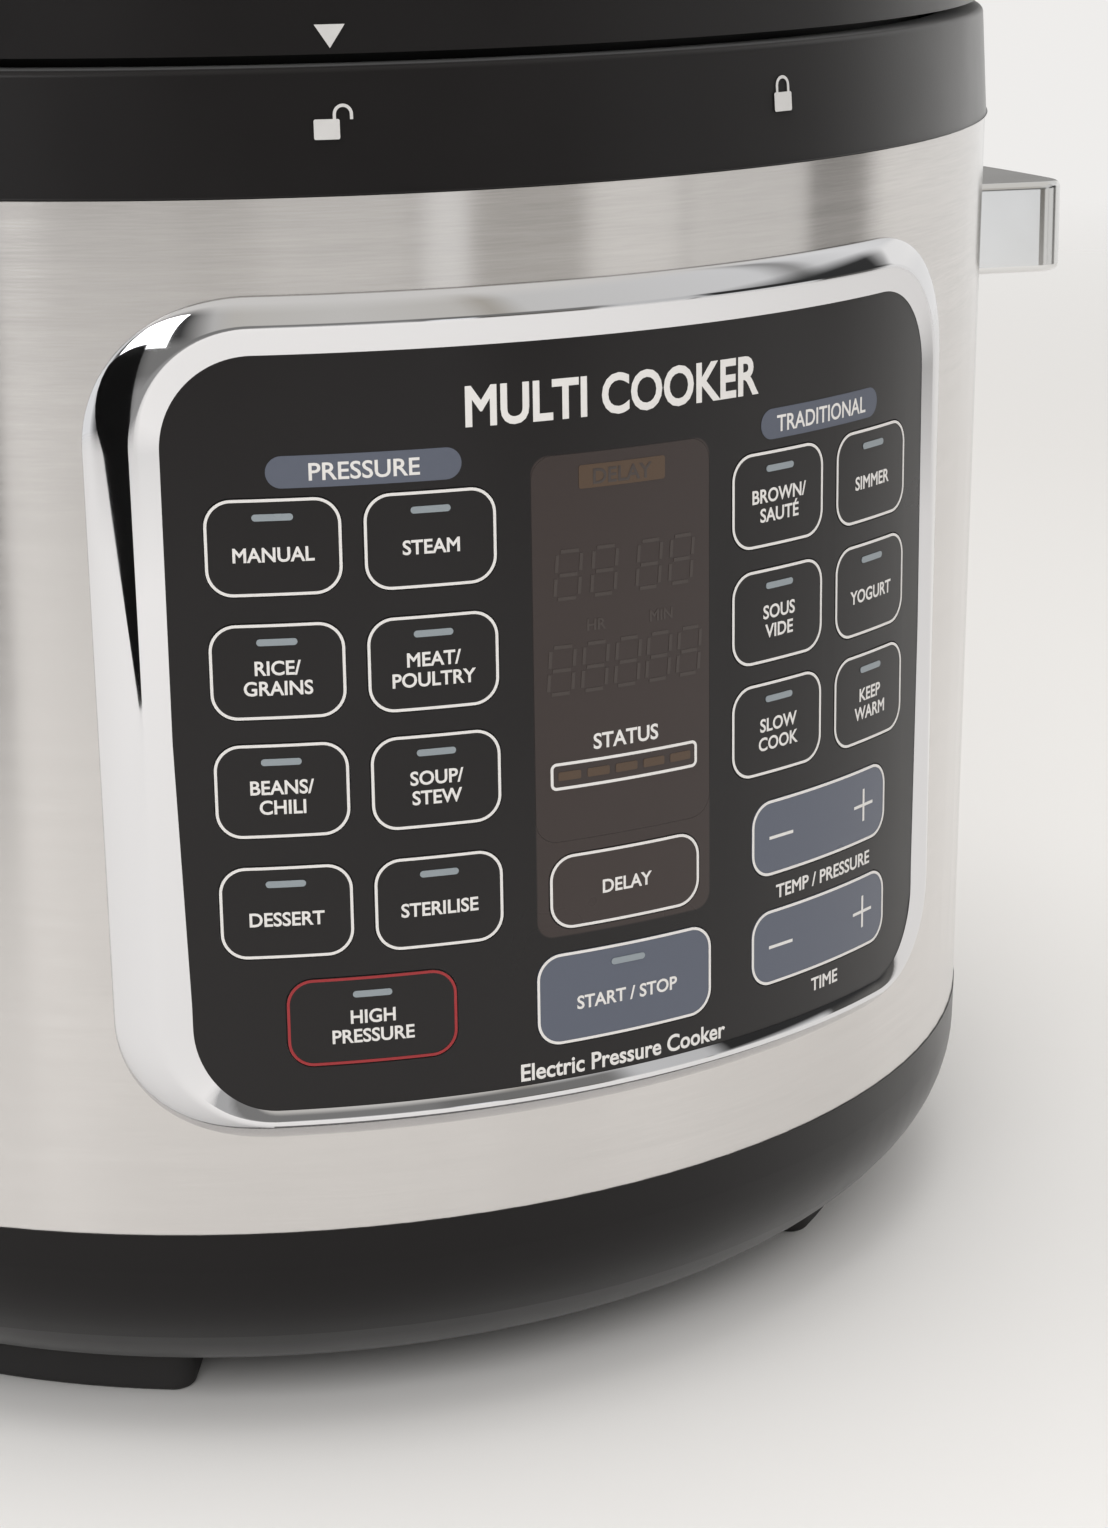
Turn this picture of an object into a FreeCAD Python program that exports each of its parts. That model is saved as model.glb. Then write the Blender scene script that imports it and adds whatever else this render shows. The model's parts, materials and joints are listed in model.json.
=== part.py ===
"""Electric pressure cooker: a round bench-top multi-cooker with a twist-lock lid, a lift-out cooking pot
and a curved front panel with seventeen push keys and two rocker keys.

Units are millimetres. Z points up and the cooker stands on z = 0. The pot's axis is the Z axis, the
front panel faces -Y, and the side handles lie along X. An azimuth is an angle about Z, measured from
the front (-Y) towards +X. The lid is modelled seated and unlocked.
"""

import FreeCAD
import Part

import math
import os

V = FreeCAD.Vector
Z_AXIS = V(0, 0, 1)
ORIGIN = V(0, 0, 0)

# ---- driving dimensions -------------------------------------------------------------------------
BAND_R = 142.0          # outer radius of the steel band at its lower edge
BAND_FLARE = 2.8        # how much wider the band is at its upper edge
BAND_T = 0.6            # sheet thickness of the band
SEAM_LOW = 40.0         # height of the seam between base and band
SEAM_HIGH = 215.0       # height of the seam between band and collar
COLLAR_TOP = 236.2
LID_GAP = 0.4           # gap between collar and lid skirt
LID_R = 143.0           # outer radius of the lid skirt
DOME_TOP = 283.0        # top of the lid cover at its centre
OVERALL_H = 325.0       # top of the lid handle
HANDLE_DEPTH = 34.0     # its width across the grip

POT_R = 112.5           # outer radius of the cooking pot's wall
POT_T = 1.5
POT_BASE = 66.4         # underside of the pot
POT_RIM = 221.0         # top of the pot's rim
LINER_R = 116.8         # outer radius of the fixed outer pot
LINER_FLOOR = 47.0
LINER_TOP = 219.2       # top of its flange

RING_R = 135.8          # outer radius of the locking ring
RING_TOP = 229.4
RING_T = 2.4
TEETH = 6               # bayonet teeth on the ring and on the lid
TOOTH_HALF_DEG = 12.5
TOOTH_TIP_R = 122.5     # the ring's teeth reach in to here
LID_TOOTH_R = 127.5     # the lid's teeth reach out to here

PANEL_R = 146.1         # outer radius of the curved panel face
PANEL_T = 1.2
PANEL_Z = 127.4         # height of the panel's centre
PANEL_HALF_W = 77.0     # half width along the curve
PANEL_HALF_H = 63.4
PANEL_CORNER = 15.0
BEZEL_SIDE = 12.7       # width of the bezel at the sides
BEZEL_TOP = 9.4         # along its top
BEZEL_FOOT = 6.0        # and along its bottom
BEZEL_R = 147.0         # radius of its crest
BEZEL_LIP = 0.5         # thickness of its inner edge above the panel face
BEZEL_CORNER = 24.0

KEY_GAP = 0.25          # clearance round and behind each key
KEY_CORNER = 4.4
KEY_TRAVEL = 0.4
ROCKER_AXIS_R = 143.2   # radius at which the rocker keys' pivot lines lie
ROCKER_PIVOT = 1.8      # radius of the round rib they rock on
ROCKER_FOOT = 0.32      # place of a rocker's plungers, as a share of its width from its middle
KEY_FLANGE = 0.9        # how far the retaining flange reaches behind the panel

HANDLE_REACH = 172.0    # furthest X of the side handles
HANDLE_BOW_R = 300.0    # radius of their outer edge, seen from above
HANDLE_SPREAD_DEG = 16.0    # their ends lie this far each side of the X axis
HANDLE_CORNER = 6.5
HANDLE_Z = (176.2, 195.0)
HANDLE_BAR = 13.0       # thickness of the loop

DIAL_AT = (0.0, 72.0)   # steam dial, vent pipe and pressure weight share this axis
DIAL_R = 26.0
DIAL_Z = (283.4, 300.0)
CAM_RISE_PER_90 = 2.5   # lift of the pressure weight for a quarter turn of the dial
FLOAT_AT = (46.0, 60.0)

CUP_HALF_W = 29.0
CUP_Z = (166.0, 208.6)
CUP_Y = (147.0, 166.0)

# ---- key layout, measured along the curved face -------------------------------------------------
PROGRAM_KEY = (21.9, 15.8)      # width, height
CLASSIC_KEY = (22.2, 16.4)
ROCKER_KEY = (38.0, 13.7)
LEFT_COLUMNS = (-59.6, -34.1)
RIGHT_COLUMNS = (33.2, 59.3)
PROGRAM_ROWS = (160.0, 139.6, 119.6, 98.8)
CLASSIC_ROWS = (159.4, 139.1, 119.1)
# name, centre along the curve, centre height, width, height
KEYS = [
    *((name, LEFT_COLUMNS[i % 2], PROGRAM_ROWS[i // 2], *PROGRAM_KEY) for i, name in enumerate(
        ("manual", "steam", "rice", "meat", "beans", "soup", "dessert", "sterilise"))),
    *((name, RIGHT_COLUMNS[i % 2], CLASSIC_ROWS[i // 2], *CLASSIC_KEY) for i, name in enumerate(
        ("saute", "simmer", "sous_vide", "yogurt", "slow_cook", "keep_warm"))),
    ("rapid", -45.9, 79.2, 28.6, 15.2),
    ("delay", 0.0, 97.4, 29.4, 13.0),
    ("start_stop", 0.0, 78.5, 34.6, 16.2),
]
ROCKERS = [("pressure", 45.8, 99.0, *ROCKER_KEY), ("time", 45.8, 78.8, *ROCKER_KEY)]
WINDOW = (0.0, 139.1, 34.2, 65.6)   # display window: centre, height of centre, width, height


# ---- helpers ------------------------------------------------------------------------------------
def solid(shape):
    """The single solid of a boolean result, with its split faces merged."""
    shape = shape.removeSplitter()
    return shape.Solids[0] if len(shape.Solids) == 1 else shape


def lathe(outline, degrees=360.0, azimuth=None):
    """Turns a closed (radius, z) outline about the Z axis.

    An item is a point, or (middle point, end point) for an arc from the point before it. A part turn
    is centred on azimuth.
    """
    first = outline[0]
    at, edges = first, []
    for item in [*outline[1:], first]:
        if isinstance(item[0], tuple):
            middle, end = item
            arc = Part.Arc(V(at[0], 0, at[1]), V(middle[0], 0, middle[1]), V(end[0], 0, end[1]))
            edges.append(arc.toShape())
        else:
            end = item
            edges.append(Part.makeLine(V(at[0], 0, at[1]), V(end[0], 0, end[1])))
        at = end
    turned = Part.Face(Part.Wire(edges)).revolve(ORIGIN, Z_AXIS, degrees)
    if azimuth is not None:
        turned.rotate(ORIGIN, Z_AXIS, azimuth - 90.0 - degrees / 2.0)
    return turned


def ring(inner, outer, low, high, degrees=360.0, azimuth=None):
    return lathe([(inner, low), (outer, low), (outer, high), (inner, high)], degrees, azimuth)


def disc(radius, low, high, x=0.0, y=0.0):
    return Part.makeCylinder(radius, high - low, V(x, y, low))


def box(low, high):
    return Part.makeBox(high[0] - low[0], high[1] - low[1], high[2] - low[2], V(*low))


def fillet(shape, radius, wanted):
    """Rounds the edges that wanted(edge) picks."""
    return shape.makeFillet(radius, [e for e in shape.Edges if wanted(e)])


def is_vertical(edge):
    a, b = edge.Vertexes[0].Point, edge.Vertexes[-1].Point
    return math.hypot(a.x - b.x, a.y - b.y) < 1e-6 and abs(a.z - b.z) > 1e-6


def is_radial(edge):
    """True for a straight level edge that points away from the Z axis."""
    a, b = edge.Vertexes[0].Point, edge.Vertexes[-1].Point
    return abs(a.z - b.z) < 1e-6 and abs(a.cross(b).z) < 1e-3 and (a - b).Length > 1e-3


def band_radius(z):
    return BAND_R + BAND_FLARE * (z - SEAM_LOW) / (SEAM_HIGH - SEAM_LOW)


def wrapped_block(inner, outer, along, height, width, tall, corner):
    """A block bent round the Z axis, with rounded corners. along and width are measured on PANEL_R."""
    degrees = math.degrees(width / PANEL_R)
    azimuth = math.degrees(along / PANEL_R)
    block = ring(inner, outer, height - tall / 2.0, height + tall / 2.0, degrees, azimuth)
    return fillet(block, corner, is_radial) if corner else block


def inside_band(low, high, gap):
    """All that lies inside the band's outer face between two heights, grown by a gap."""
    return lathe([(0.0, low), (band_radius(low) + gap, low), (band_radius(high) + gap, high), (0.0, high)])


def radial_rod(radius, inner, outer, along, height):
    """A round rod that points away from the Z axis."""
    azimuth = along / PANEL_R
    out = V(math.sin(azimuth), -math.cos(azimuth), 0)
    return Part.makeCylinder(radius, outer - inner, out * inner + V(0, 0, height), out)


def tube(points, radius):
    """A round wire through points, with its corners as arcs."""
    points = [V(*point) for point in points]
    edges, at = [], points[0]
    runs = [b - a for a, b in zip(points, points[1:])]
    for corner, before, after in zip(points[1:-1], runs, runs[1:]):
        turn = before.getAngle(after)
        cut = 0.45 * min(before.Length, after.Length)
        start = corner - before * (cut / before.Length)
        end = corner + after * (cut / after.Length)
        bend = cut / math.tan(turn / 2.0)
        inward = ((start + end) * 0.5 - corner).normalize()
        middle = corner + inward * (bend / math.cos(turn / 2.0) - bend)
        edges += [Part.makeLine(at, start), Part.Arc(start, middle, end).toShape()]
        at = end
    edges.append(Part.makeLine(at, points[-1]))
    path = Part.Wire(edges)
    section = Part.Wire([Part.makeCircle(radius, points[0], runs[0])])
    return path.makePipeShell([section], True, True)


def around(count, start=0.0):
    return [start + 360.0 * i / count for i in range(count)]


def polar(radius, azimuth):
    a = math.radians(azimuth)
    return radius * math.sin(a), -radius * math.cos(a)


def screws(places, top, length, shank=1.6, head=3.2, head_height=1.8):
    """Pan-head screws driven upwards; top is the height of the head's upper face."""
    made = []
    for x, y in places:
        head_solid = disc(head, top - head_height, top, x, y)
        low = top - head_height
        for half_x, half_y in ((2.0, 0.4), (0.4, 2.0)):
            slot = box((x - half_x, y - half_y, low), (x + half_x, y + half_y, low + 0.8))
            head_solid = head_solid.cut(slot)
        made.append(solid(head_solid.fuse(disc(shank, top, top + length, x, y))))
    return Part.makeCompound(made)


# ---- housing ------------------------------------------------------------------------------------
BASE_CURVE_R = 38.6     # horizontal and vertical half axes of the base's curved flank
BASE_CURVE_H = 29.0
BASE_FLAT = 4.0         # height of its flat underside
BASE_LIP = 0.2          # how far the base stands proud of the band at the seam
COVER_R = 97.7          # radius of the bottom cover
COVER_T = 1.5
SCREW_IN = 3.2          # distance of its screws from its edge
PILOT_R = 1.6           # radius of a screw's pilot hole


def base_outline(inset=0.0):
    """The flank of the base from its seam to its underside, as (radius, z) points on a quarter ellipse."""
    centre_r, centre_z = BAND_R - BASE_CURVE_R, BASE_FLAT + BASE_CURVE_H
    steps = 6
    return [
        (centre_r + (BASE_CURVE_R - inset) * math.cos(t), centre_z - (BASE_CURVE_H - inset) * math.sin(t))
        for t in (math.pi / 2.0 * i / steps for i in range(steps + 1))
    ]


def arcs_through(points):
    """Pairs points after the first as (middle, end) arcs."""
    return [(points[i], points[i + 1]) for i in range(1, len(points) - 1, 2)]


def base_solid():
    """The base as if it were solid, to trim the feet against."""
    outer = base_outline()
    rim = (BAND_R + BASE_LIP, SEAM_LOW)
    return lathe([(0.0, SEAM_LOW), rim, outer[0], *arcs_through(outer), (0.0, BASE_FLAT)])


def base_shell():
    outer, inner = base_outline(), base_outline(2.5)[::-1]
    ledge, floor = BASE_FLAT + COVER_T + 0.2, 8.0
    lip_out, lip_top = BAND_R - BAND_T - 0.2, SEAM_LOW + 6.0
    lip_in = lip_out - 1.8
    shell = lathe([
        (BAND_R + BASE_LIP, SEAM_LOW), outer[0], *arcs_through(outer),
        (COVER_R + 0.3, BASE_FLAT), (COVER_R + 0.3, ledge), (COVER_R - 6.0, ledge), (COVER_R - 6.0, floor),
        (inner[0][0], floor), inner[0], *arcs_through(inner),
        (lip_in, SEAM_LOW - 6.0), (lip_in, lip_top), (lip_out, lip_top), (lip_out, SEAM_LOW),
    ])
    for x, y in cover_screw_places():
        shell = shell.cut(disc(PILOT_R, 0.0, 10.0, x, y))
    return solid(shell)


def cover_screw_places():
    return [polar(COVER_R - SCREW_IN, azimuth) for azimuth in around(4)]


def bottom_cover():
    """Flat cover with cooling slots and four posts that carry the power board."""
    inner_face = BASE_FLAT + COVER_T
    post_r, slot_pitch, slot_half_w, slot_half_l, slot_y = 3.5, 8.0, 1.5, 12.0, 70.0
    slot = box((-slot_half_w, -slot_half_l, 0.0), (slot_half_w, slot_half_l, 10.0))
    cover = disc(COVER_R, BASE_FLAT, inner_face)
    for azimuth in around(4, 45.0):
        cover = cover.fuse(disc(post_r, inner_face, BOARD_Z, *polar(46.0, azimuth)))
    for y in (-slot_y, slot_y):
        for i in range(-4, 5):
            cover = cover.cut(slot.translated(V(slot_pitch * i, y, 0)))
    for x, y in cover_screw_places():
        cover = cover.cut(disc(PILOT_R + 0.3, 0.0, 10.0, x, y))
    return solid(cover)


def cover_screws():
    return screws(cover_screw_places(), BASE_FLAT, 5.0, head=2.8)


def rubber_feet():
    """Four curved pads, moulded to the base's flank."""
    inner, outer, sweep_deg = 102.0, 121.0, 25.0
    keep = base_solid()
    feet = []
    for azimuth in around(4, 45.0):
        foot = ring(inner, outer, 0.0, 14.0, sweep_deg, azimuth)
        foot = fillet(foot, 4.0, is_vertical)
        foot = fillet(foot, 1.6, lambda e: max(v.Z for v in e.Vertexes) < 1e-6)
        feet.append(solid(foot.cut(keep)))
    return Part.makeCompound(feet)


PANEL_OPENING = (PANEL_HALF_W * 2.0 + 6.0, PANEL_HALF_H * 2.0 + 4.0)
INLET_HALF_W = 19.0
INLET_Z = (47.0, 77.0)


def steel_band():
    """Rolled sheet with an opening for the front panel and one for the mains inlet."""
    low, high = SEAM_LOW + 0.05, SEAM_HIGH - 0.05
    band = lathe([
        (band_radius(low) - BAND_T, low), (band_radius(low), low),
        (band_radius(high), high), (band_radius(high) - BAND_T, high),
    ])
    window = wrapped_block(130.0, 160.0, 0.0, PANEL_Z, *PANEL_OPENING, PANEL_CORNER)
    inlet = box((-INLET_HALF_W + 2.0, 100.0, INLET_Z[0] + 2.0), (INLET_HALF_W - 2.0, 160.0, INLET_Z[1] - 2.0))
    return solid(band.cut(window).cut(inlet))


def upper_collar():
    """Moulded ring between the band and the lid, with a groove that holds the band's upper edge."""
    top, low = COLLAR_TOP, SEAM_HIGH + 0.15
    return lathe([
        (145.5, low), (144.1, top - 1.4), ((143.7, top - 0.4), (142.7, top)),
        (137.0, top), ((136.4, top - 0.2), (136.2, top - 0.8)), (136.2, 222.0),
        (138.6, 222.0), (138.6, top - 2.4), (141.3, top - 2.4), (142.6, 219.0), (141.4, 216.0),
        (141.4, 209.0), (143.6, 209.0), (143.9, low),
    ])


def liner_pot():
    """Fixed outer pot: a deep-drawn steel cup that carries the heater and the locking ring."""
    r, t, floor, top = LINER_R, 1.2, LINER_FLOOR, LINER_TOP
    cup = lathe([
        (20.0, floor), (r - 10.0, floor), ((r - 2.93, floor + 2.93), (r, floor + 10.0)),
        (r, top - t), (RING_R, top - t), (RING_R, top), (r - t, top),
        (r - t, floor + 10.0), ((r - t - 2.58, floor + t + 2.58), (r - 10.0, floor + t)), (20.0, floor + t),
    ])
    for x in (-TAIL_X, TAIL_X):
        cup = cup.cut(disc(5.5, floor - 5.0, floor + 5.0, x, ELEMENT_R))
    return solid(cup)


def locking_ring():
    """Steel bayonet ring with inward teeth; the lid's teeth pass between them and turn underneath."""
    wall_in = RING_R - RING_T
    body = lathe([
        (wall_in, LINER_TOP), (RING_R, LINER_TOP), (RING_R, RING_TOP), (128.5, RING_TOP),
        (128.5, RING_TOP - RING_T), (wall_in, RING_TOP - RING_T),
    ])
    for azimuth in around(TEETH):
        tooth = ring(TOOTH_TIP_R, 129.5, RING_TOP - RING_T, RING_TOP, 2 * TOOTH_HALF_DEG, azimuth)
        body = body.fuse(tooth)
    return solid(body)


# ---- heater and sensor --------------------------------------------------------------------------
ELEMENT_R = 68.0        # centre-line radius of the sheathed heating element
TAIL_X = 8.0            # distance of its two cold tails from the middle plane
TAB_HALF_W = 3.0        # half width of the tails' tabs
PLATE_R = 95.0
PLATE_Z = (54.0, POT_BASE - 0.3)
SENSOR_R = 15.0
SENSOR_TOP = POT_BASE - 0.35
SENSOR_CAP = 3.5        # thickness of the probe's cap
SENSOR_STEM_R = 5.0
SPRING_R = 8.0
SPRING_WIRE = 0.6       # radius of the wire
SPRING_H = 9.8          # rise of the wire's centre line
SPRING_TURNS = 4
SPRING_SEAT = SENSOR_TOP - SENSOR_CAP - SPRING_H - 2.0 * SPRING_WIRE - 0.1


def heating_plate():
    low, high = PLATE_Z
    plate = lathe([
        (17.0, low), (PLATE_R - 3.0, low), (PLATE_R, low + 3.0), (PLATE_R, high - 3.0),
        (PLATE_R - 3.0, high), (17.0, high),
    ])
    plate = plate.cut(Part.makeTorus(ELEMENT_R, 4.3, V(0, 0, low)))
    for azimuth in around(3, 60.0):
        x, y = polar(84.0, azimuth)
        plate = plate.fuse(disc(5.0, LINER_FLOOR + 1.2, low, x, y))
    return solid(plate)


def heating_element():
    """Sheathed element: a ring pressed into the plate, with two cold tails down through the liner."""
    gap_deg, sheath_r, tail_r, tail_low = 12.0, 4.0, 3.2, 38.0
    level = PLATE_Z[0]
    reach = ELEMENT_R * math.sin(math.radians(gap_deg))
    made = Part.makeTorus(ELEMENT_R, sheath_r, V(0, 0, level), Z_AXIS, 0, 360, 360 - 2 * gap_deg)
    made.rotate(ORIGIN, Z_AXIS, 90.0 + gap_deg)
    for side in (-1, 1):
        x = side * TAIL_X
        made = made.fuse(disc(tail_r, tail_low, level + 1.0, x, ELEMENT_R))
        bridge = Part.makeCylinder(tail_r, reach - TAIL_X + 1.0, V(x - side, ELEMENT_R, level), V(side, 0, 0))
        near, far = ELEMENT_R - TAB_HALF_W, ELEMENT_R + TAB_HALF_W
        made = made.fuse(bridge).fuse(box((x - 0.5, near, tail_low - 7.0), (x + 0.5, far, tail_low + 0.2)))
    return solid(made)


def pot_sensor():
    """Spring-loaded temperature probe that touches the underside of the pot."""
    top, low, bevel = SENSOR_TOP, SENSOR_TOP - SENSOR_CAP, 1.2
    cap = lathe([(0.0, low), (SENSOR_R, low), (SENSOR_R, top - bevel), (SENSOR_R - bevel, top), (0.0, top)])
    return solid(cap.fuse(disc(SENSOR_STEM_R, 40.0, top - 3.0)))


def sensor_spring():
    """Coil spring between the bracket and the probe's cap."""
    per_turn = 8
    count = SPRING_TURNS * per_turn
    points = []
    for i in range(count + 1):
        x, y = polar(SPRING_R, 360.0 * i / per_turn)
        points.append((x, y, SPRING_SEAT + SPRING_WIRE + 0.05 + SPRING_H * i / count))
    return tube(points, SPRING_WIRE)


def sensor_bracket():
    """Guide bush under the liner that holds the probe and the spring's lower end."""
    bore, sleeve, collar, flange = SENSOR_STEM_R + 0.1, 8.0, 12.0, 26.0
    under = LINER_FLOOR - 1.4
    return solid(lathe([
        (bore, 42.0), (sleeve, 42.0), (sleeve, under), (flange, under), (flange, LINER_FLOOR),
        (collar, LINER_FLOOR), (collar, SPRING_SEAT), (bore, SPRING_SEAT),
    ]))


def thermal_cutout():
    """Snap-action safety switch clamped to the liner's floor."""
    body = disc(8.0, 38.0, LINER_FLOOR, -50.0, 0.0)
    for side in (-1, 1):
        body = body.fuse(box((-50.5, side * 4.5 - 1.6, 30.0), (-49.7, side * 4.5 + 1.6, 38.0)))
    return solid(body.fuse(box((-64.0, -4.0, LINER_FLOOR - 1.2), (-36.0, 4.0, LINER_FLOOR))))


BOARD_Z = 16.0          # underside of the power board
BOARD_T = 1.6
TERMINAL_H = 9.0        # height of the board's heater terminals
LEAD_R = 1.3


def power_board():
    """Circuit board with its largest components."""
    top = BOARD_Z + BOARD_T
    board = box((-50.0, -40.0, BOARD_Z), (50.0, 40.0, top))
    parts = [
        box((-42.0, -32.0, top), (-14.0, -6.0, top + 20.0)),      # transformer
        box((-6.0, -34.0, top), (12.0, -14.0, top + 15.0)),       # relay
        box((18.0, -34.0, top), (32.0, -26.0, top + 12.0)),       # film capacitor
        box((-44.0, 8.0, top), (-32.0, 24.0, top + 8.0)),         # plug header
        disc(6.0, top, top + 18.0, 26.0, 0.0),                    # smoothing capacitors
        disc(4.0, top, top + 12.0, 40.0, 0.0),
        box((-8.0, 20.0, top), (12.0, 32.0, top + TERMINAL_H)),   # heater terminals
    ]
    for part in parts:
        board = board.fuse(part)
    return solid(board)


def heater_leads():
    """Two insulated wires from the board's terminals to the element's tabs."""
    top = BOARD_Z + BOARD_T + TERMINAL_H
    tab_y, tab_z = ELEMENT_R - TAB_HALF_W, 34.0
    leads = []
    for side in (-1, 1):
        start_x, end_x = side * 5.0 + 2.0, side * TAIL_X
        leads.append(tube([
            (start_x, 26.0, top), (start_x, 26.0, top + 9.0), (end_x, 37.0, top + 11.0),
            (end_x, 51.0, tab_z), (end_x, tab_y, tab_z),
        ], LEAD_R))
    return Part.makeCompound(leads)


def power_inlet():
    """Appliance inlet at the back: a flanged block with a recess and three pins."""
    low, high = INLET_Z
    face = band_radius(high) + 4.0
    block = box((-INLET_HALF_W, 138.0, low), (INLET_HALF_W, face, high))
    block = fillet(block, 3.0, lambda e: abs(e.Vertexes[0].Point.y - e.Vertexes[-1].Point.y) > 5.0)
    neck = box((-INLET_HALF_W + 2.4, 122.0, low + 2.4), (INLET_HALF_W - 2.4, 143.0, high - 2.4))
    block = block.cut(inside_band(low - 5.0, high + 5.0, 0.05)).fuse(neck)
    middle, nose_half_w, nose_half_h = (low + high) / 2.0, 12.0, 8.4
    recess = box((-nose_half_w, face - 17.0, middle - nose_half_h),
                 (nose_half_w, face + 1.0, middle + nose_half_h))
    recess = fillet(recess, 3.0, lambda e: abs(e.Vertexes[0].Point.y - e.Vertexes[-1].Point.y) > 5.0)
    block = block.cut(recess)
    for x, z in ((-7.0, middle - 2.0), (0.0, middle + 2.0), (7.0, middle - 2.0)):
        block = block.fuse(box((x - 1.0, face - 18.0, z - 2.0), (x + 1.0, face - 2.0, z + 2.0)))
        block = block.fuse(box((x - 0.5, 117.6, z - 2.0), (x + 0.5, 123.0, z + 2.0)))
    return solid(block)


# ---- handles and condensate cup -----------------------------------------------------------------
def handle_plan(inset):
    """The plan of a side handle, drawn in by inset: radial ends and a bowed outer edge."""
    spread = math.radians(HANDLE_SPREAD_DEG)
    slope, shift = math.tan(spread), inset / math.cos(spread)
    centre, radius = HANDLE_REACH - HANDLE_BOW_R, HANDLE_BOW_R - inset
    square, half_linear = 1.0 + slope ** 2, centre + slope * shift
    rest = centre ** 2 + shift ** 2 - radius ** 2
    corner_x = (half_linear + math.sqrt(half_linear ** 2 - square * rest)) / square
    corner_y, root_x = slope * corner_x - shift, 120.0
    root_y = slope * root_x - shift
    near, far = V(corner_x, -corner_y, 0), V(corner_x, corner_y, 0)
    return Part.Face(Part.Wire([
        Part.makeLine(V(root_x, -root_y, 0), near),
        Part.Arc(near, V(centre + radius, 0, 0), far).toShape(),
        Part.makeLine(far, V(root_x, root_y, 0)),
        Part.makeLine(V(root_x, root_y, 0), V(root_x, -root_y, 0)),
    ]))


def side_handle(side):
    """A chromed loop handle, seated on the band. side is -1 for -X and 1 for +X."""
    low, high = HANDLE_Z
    outer = handle_plan(0.0).extrude(V(0, 0, high - low)).translated(V(0, 0, low))
    outer = fillet(outer, HANDLE_CORNER, lambda e: is_vertical(e) and e.Vertexes[0].X > 160.0)
    gap = handle_plan(HANDLE_BAR).extrude(V(0, 0, high - low + 2.0)).translated(V(0, 0, low - 1.0))
    gap = fillet(gap, 4.0, lambda e: is_vertical(e) and e.Vertexes[0].X > 150.0)
    loop = outer.cut(gap)
    loop = fillet(loop, 1.5, lambda e: e.BoundBox.XMax > 150.0 and e.BoundBox.ZLength < 1e-6)
    loop = solid(loop.cut(inside_band(low - 5.0, high + 5.0, 0.02)))
    if side < 0:
        loop = loop.mirror(ORIGIN, V(1, 0, 0))
    return loop


def cup_bracket():
    """Hood and rails at the back that the condensate cup slides into."""
    z = CUP_Z[1]
    back = ring(band_radius(205.0) + 0.6, band_radius(205.0) + 2.4, 158.0, z + 4.6, 30.0, 180.0)
    hood = box((-35.0, 138.0, z + 0.5), (35.0, CUP_Y[1] + 1.5, z + 2.6))
    bracket = hood
    for side in (-1, 1):
        inner, outer = sorted((side * 32.8, side * 35.0))
        bracket = bracket.fuse(box((inner, 138.0, z - 5.0), (outer, CUP_Y[1] + 1.5, z + 2.6)))
        inner, outer = sorted((side * 29.9, side * 35.0))
        bracket = bracket.fuse(box((inner, 138.0, z - 5.0), (outer, CUP_Y[1] + 1.5, z - 3.0)))
    bracket = bracket.fuse(back).cut(inside_band(150.0, SEAM_HIGH - 0.1, 0.05))
    spout = box((-9.0, 140.0, z - 1.0), (9.0, 152.0, z + 6.0))
    return solid(bracket.cut(spout))


def condensation_cup():
    """Open-topped cup with two side flanges that hang on the bracket's rails."""
    low, high = CUP_Z
    near, far = CUP_Y[0] + 1.0, CUP_Y[1] - 0.5
    body = box((-CUP_HALF_W, near, low), (CUP_HALF_W, far, high - 2.6))
    body = fillet(body, 4.0, lambda e: is_vertical(e) and e.Vertexes[0].Y > near + 1.0)
    body = fillet(body, 2.0, lambda e: max(v.Z for v in e.Vertexes) < low + 1e-6)
    flange = box((-CUP_HALF_W - 3.4, near, high - 2.6), (CUP_HALF_W + 3.4, far, high - 0.4))
    hollow = box((-CUP_HALF_W + 1.6, near + 1.6, low + 1.8), (CUP_HALF_W - 1.6, far - 1.6, high + 2.0))
    return solid(body.fuse(flange).cut(hollow))


# ---- front panel --------------------------------------------------------------------------------
def panel_bezel():
    """Chromed frame round the panel, seated on the band."""
    width, height = PANEL_HALF_W * 2.0, PANEL_HALF_H * 2.0
    low_r = band_radius(PANEL_Z - 80.0) - 1.0
    frame = wrapped_block(low_r, BEZEL_R, 0.0, PANEL_Z + (BEZEL_TOP - BEZEL_FOOT) / 2.0,
                          width + 2 * BEZEL_SIDE, height + BEZEL_TOP + BEZEL_FOOT, BEZEL_CORNER)
    frame = fillet(frame, 4.0, lambda e: min(math.hypot(v.X, v.Y) for v in e.Vertexes) > BEZEL_R - 1e-3)
    hole = wrapped_block(low_r - 1.0, BEZEL_R + 1.0, 0.0, PANEL_Z, width - 0.6, height - 0.6, PANEL_CORNER)
    rebate = wrapped_block(low_r - 1.0, PANEL_R, 0.0, PANEL_Z, width + 0.2, height + 0.2, PANEL_CORNER)
    bevel = wrapped_block(PANEL_R + BEZEL_LIP, BEZEL_R + 1.0, 0.0, PANEL_Z, width + 3.0, height + 3.0,
                          PANEL_CORNER + 1.5)
    return solid(frame.cut(hole).cut(rebate).cut(bevel).cut(inside_band(20.0, 230.0, 0.02)))


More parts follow.
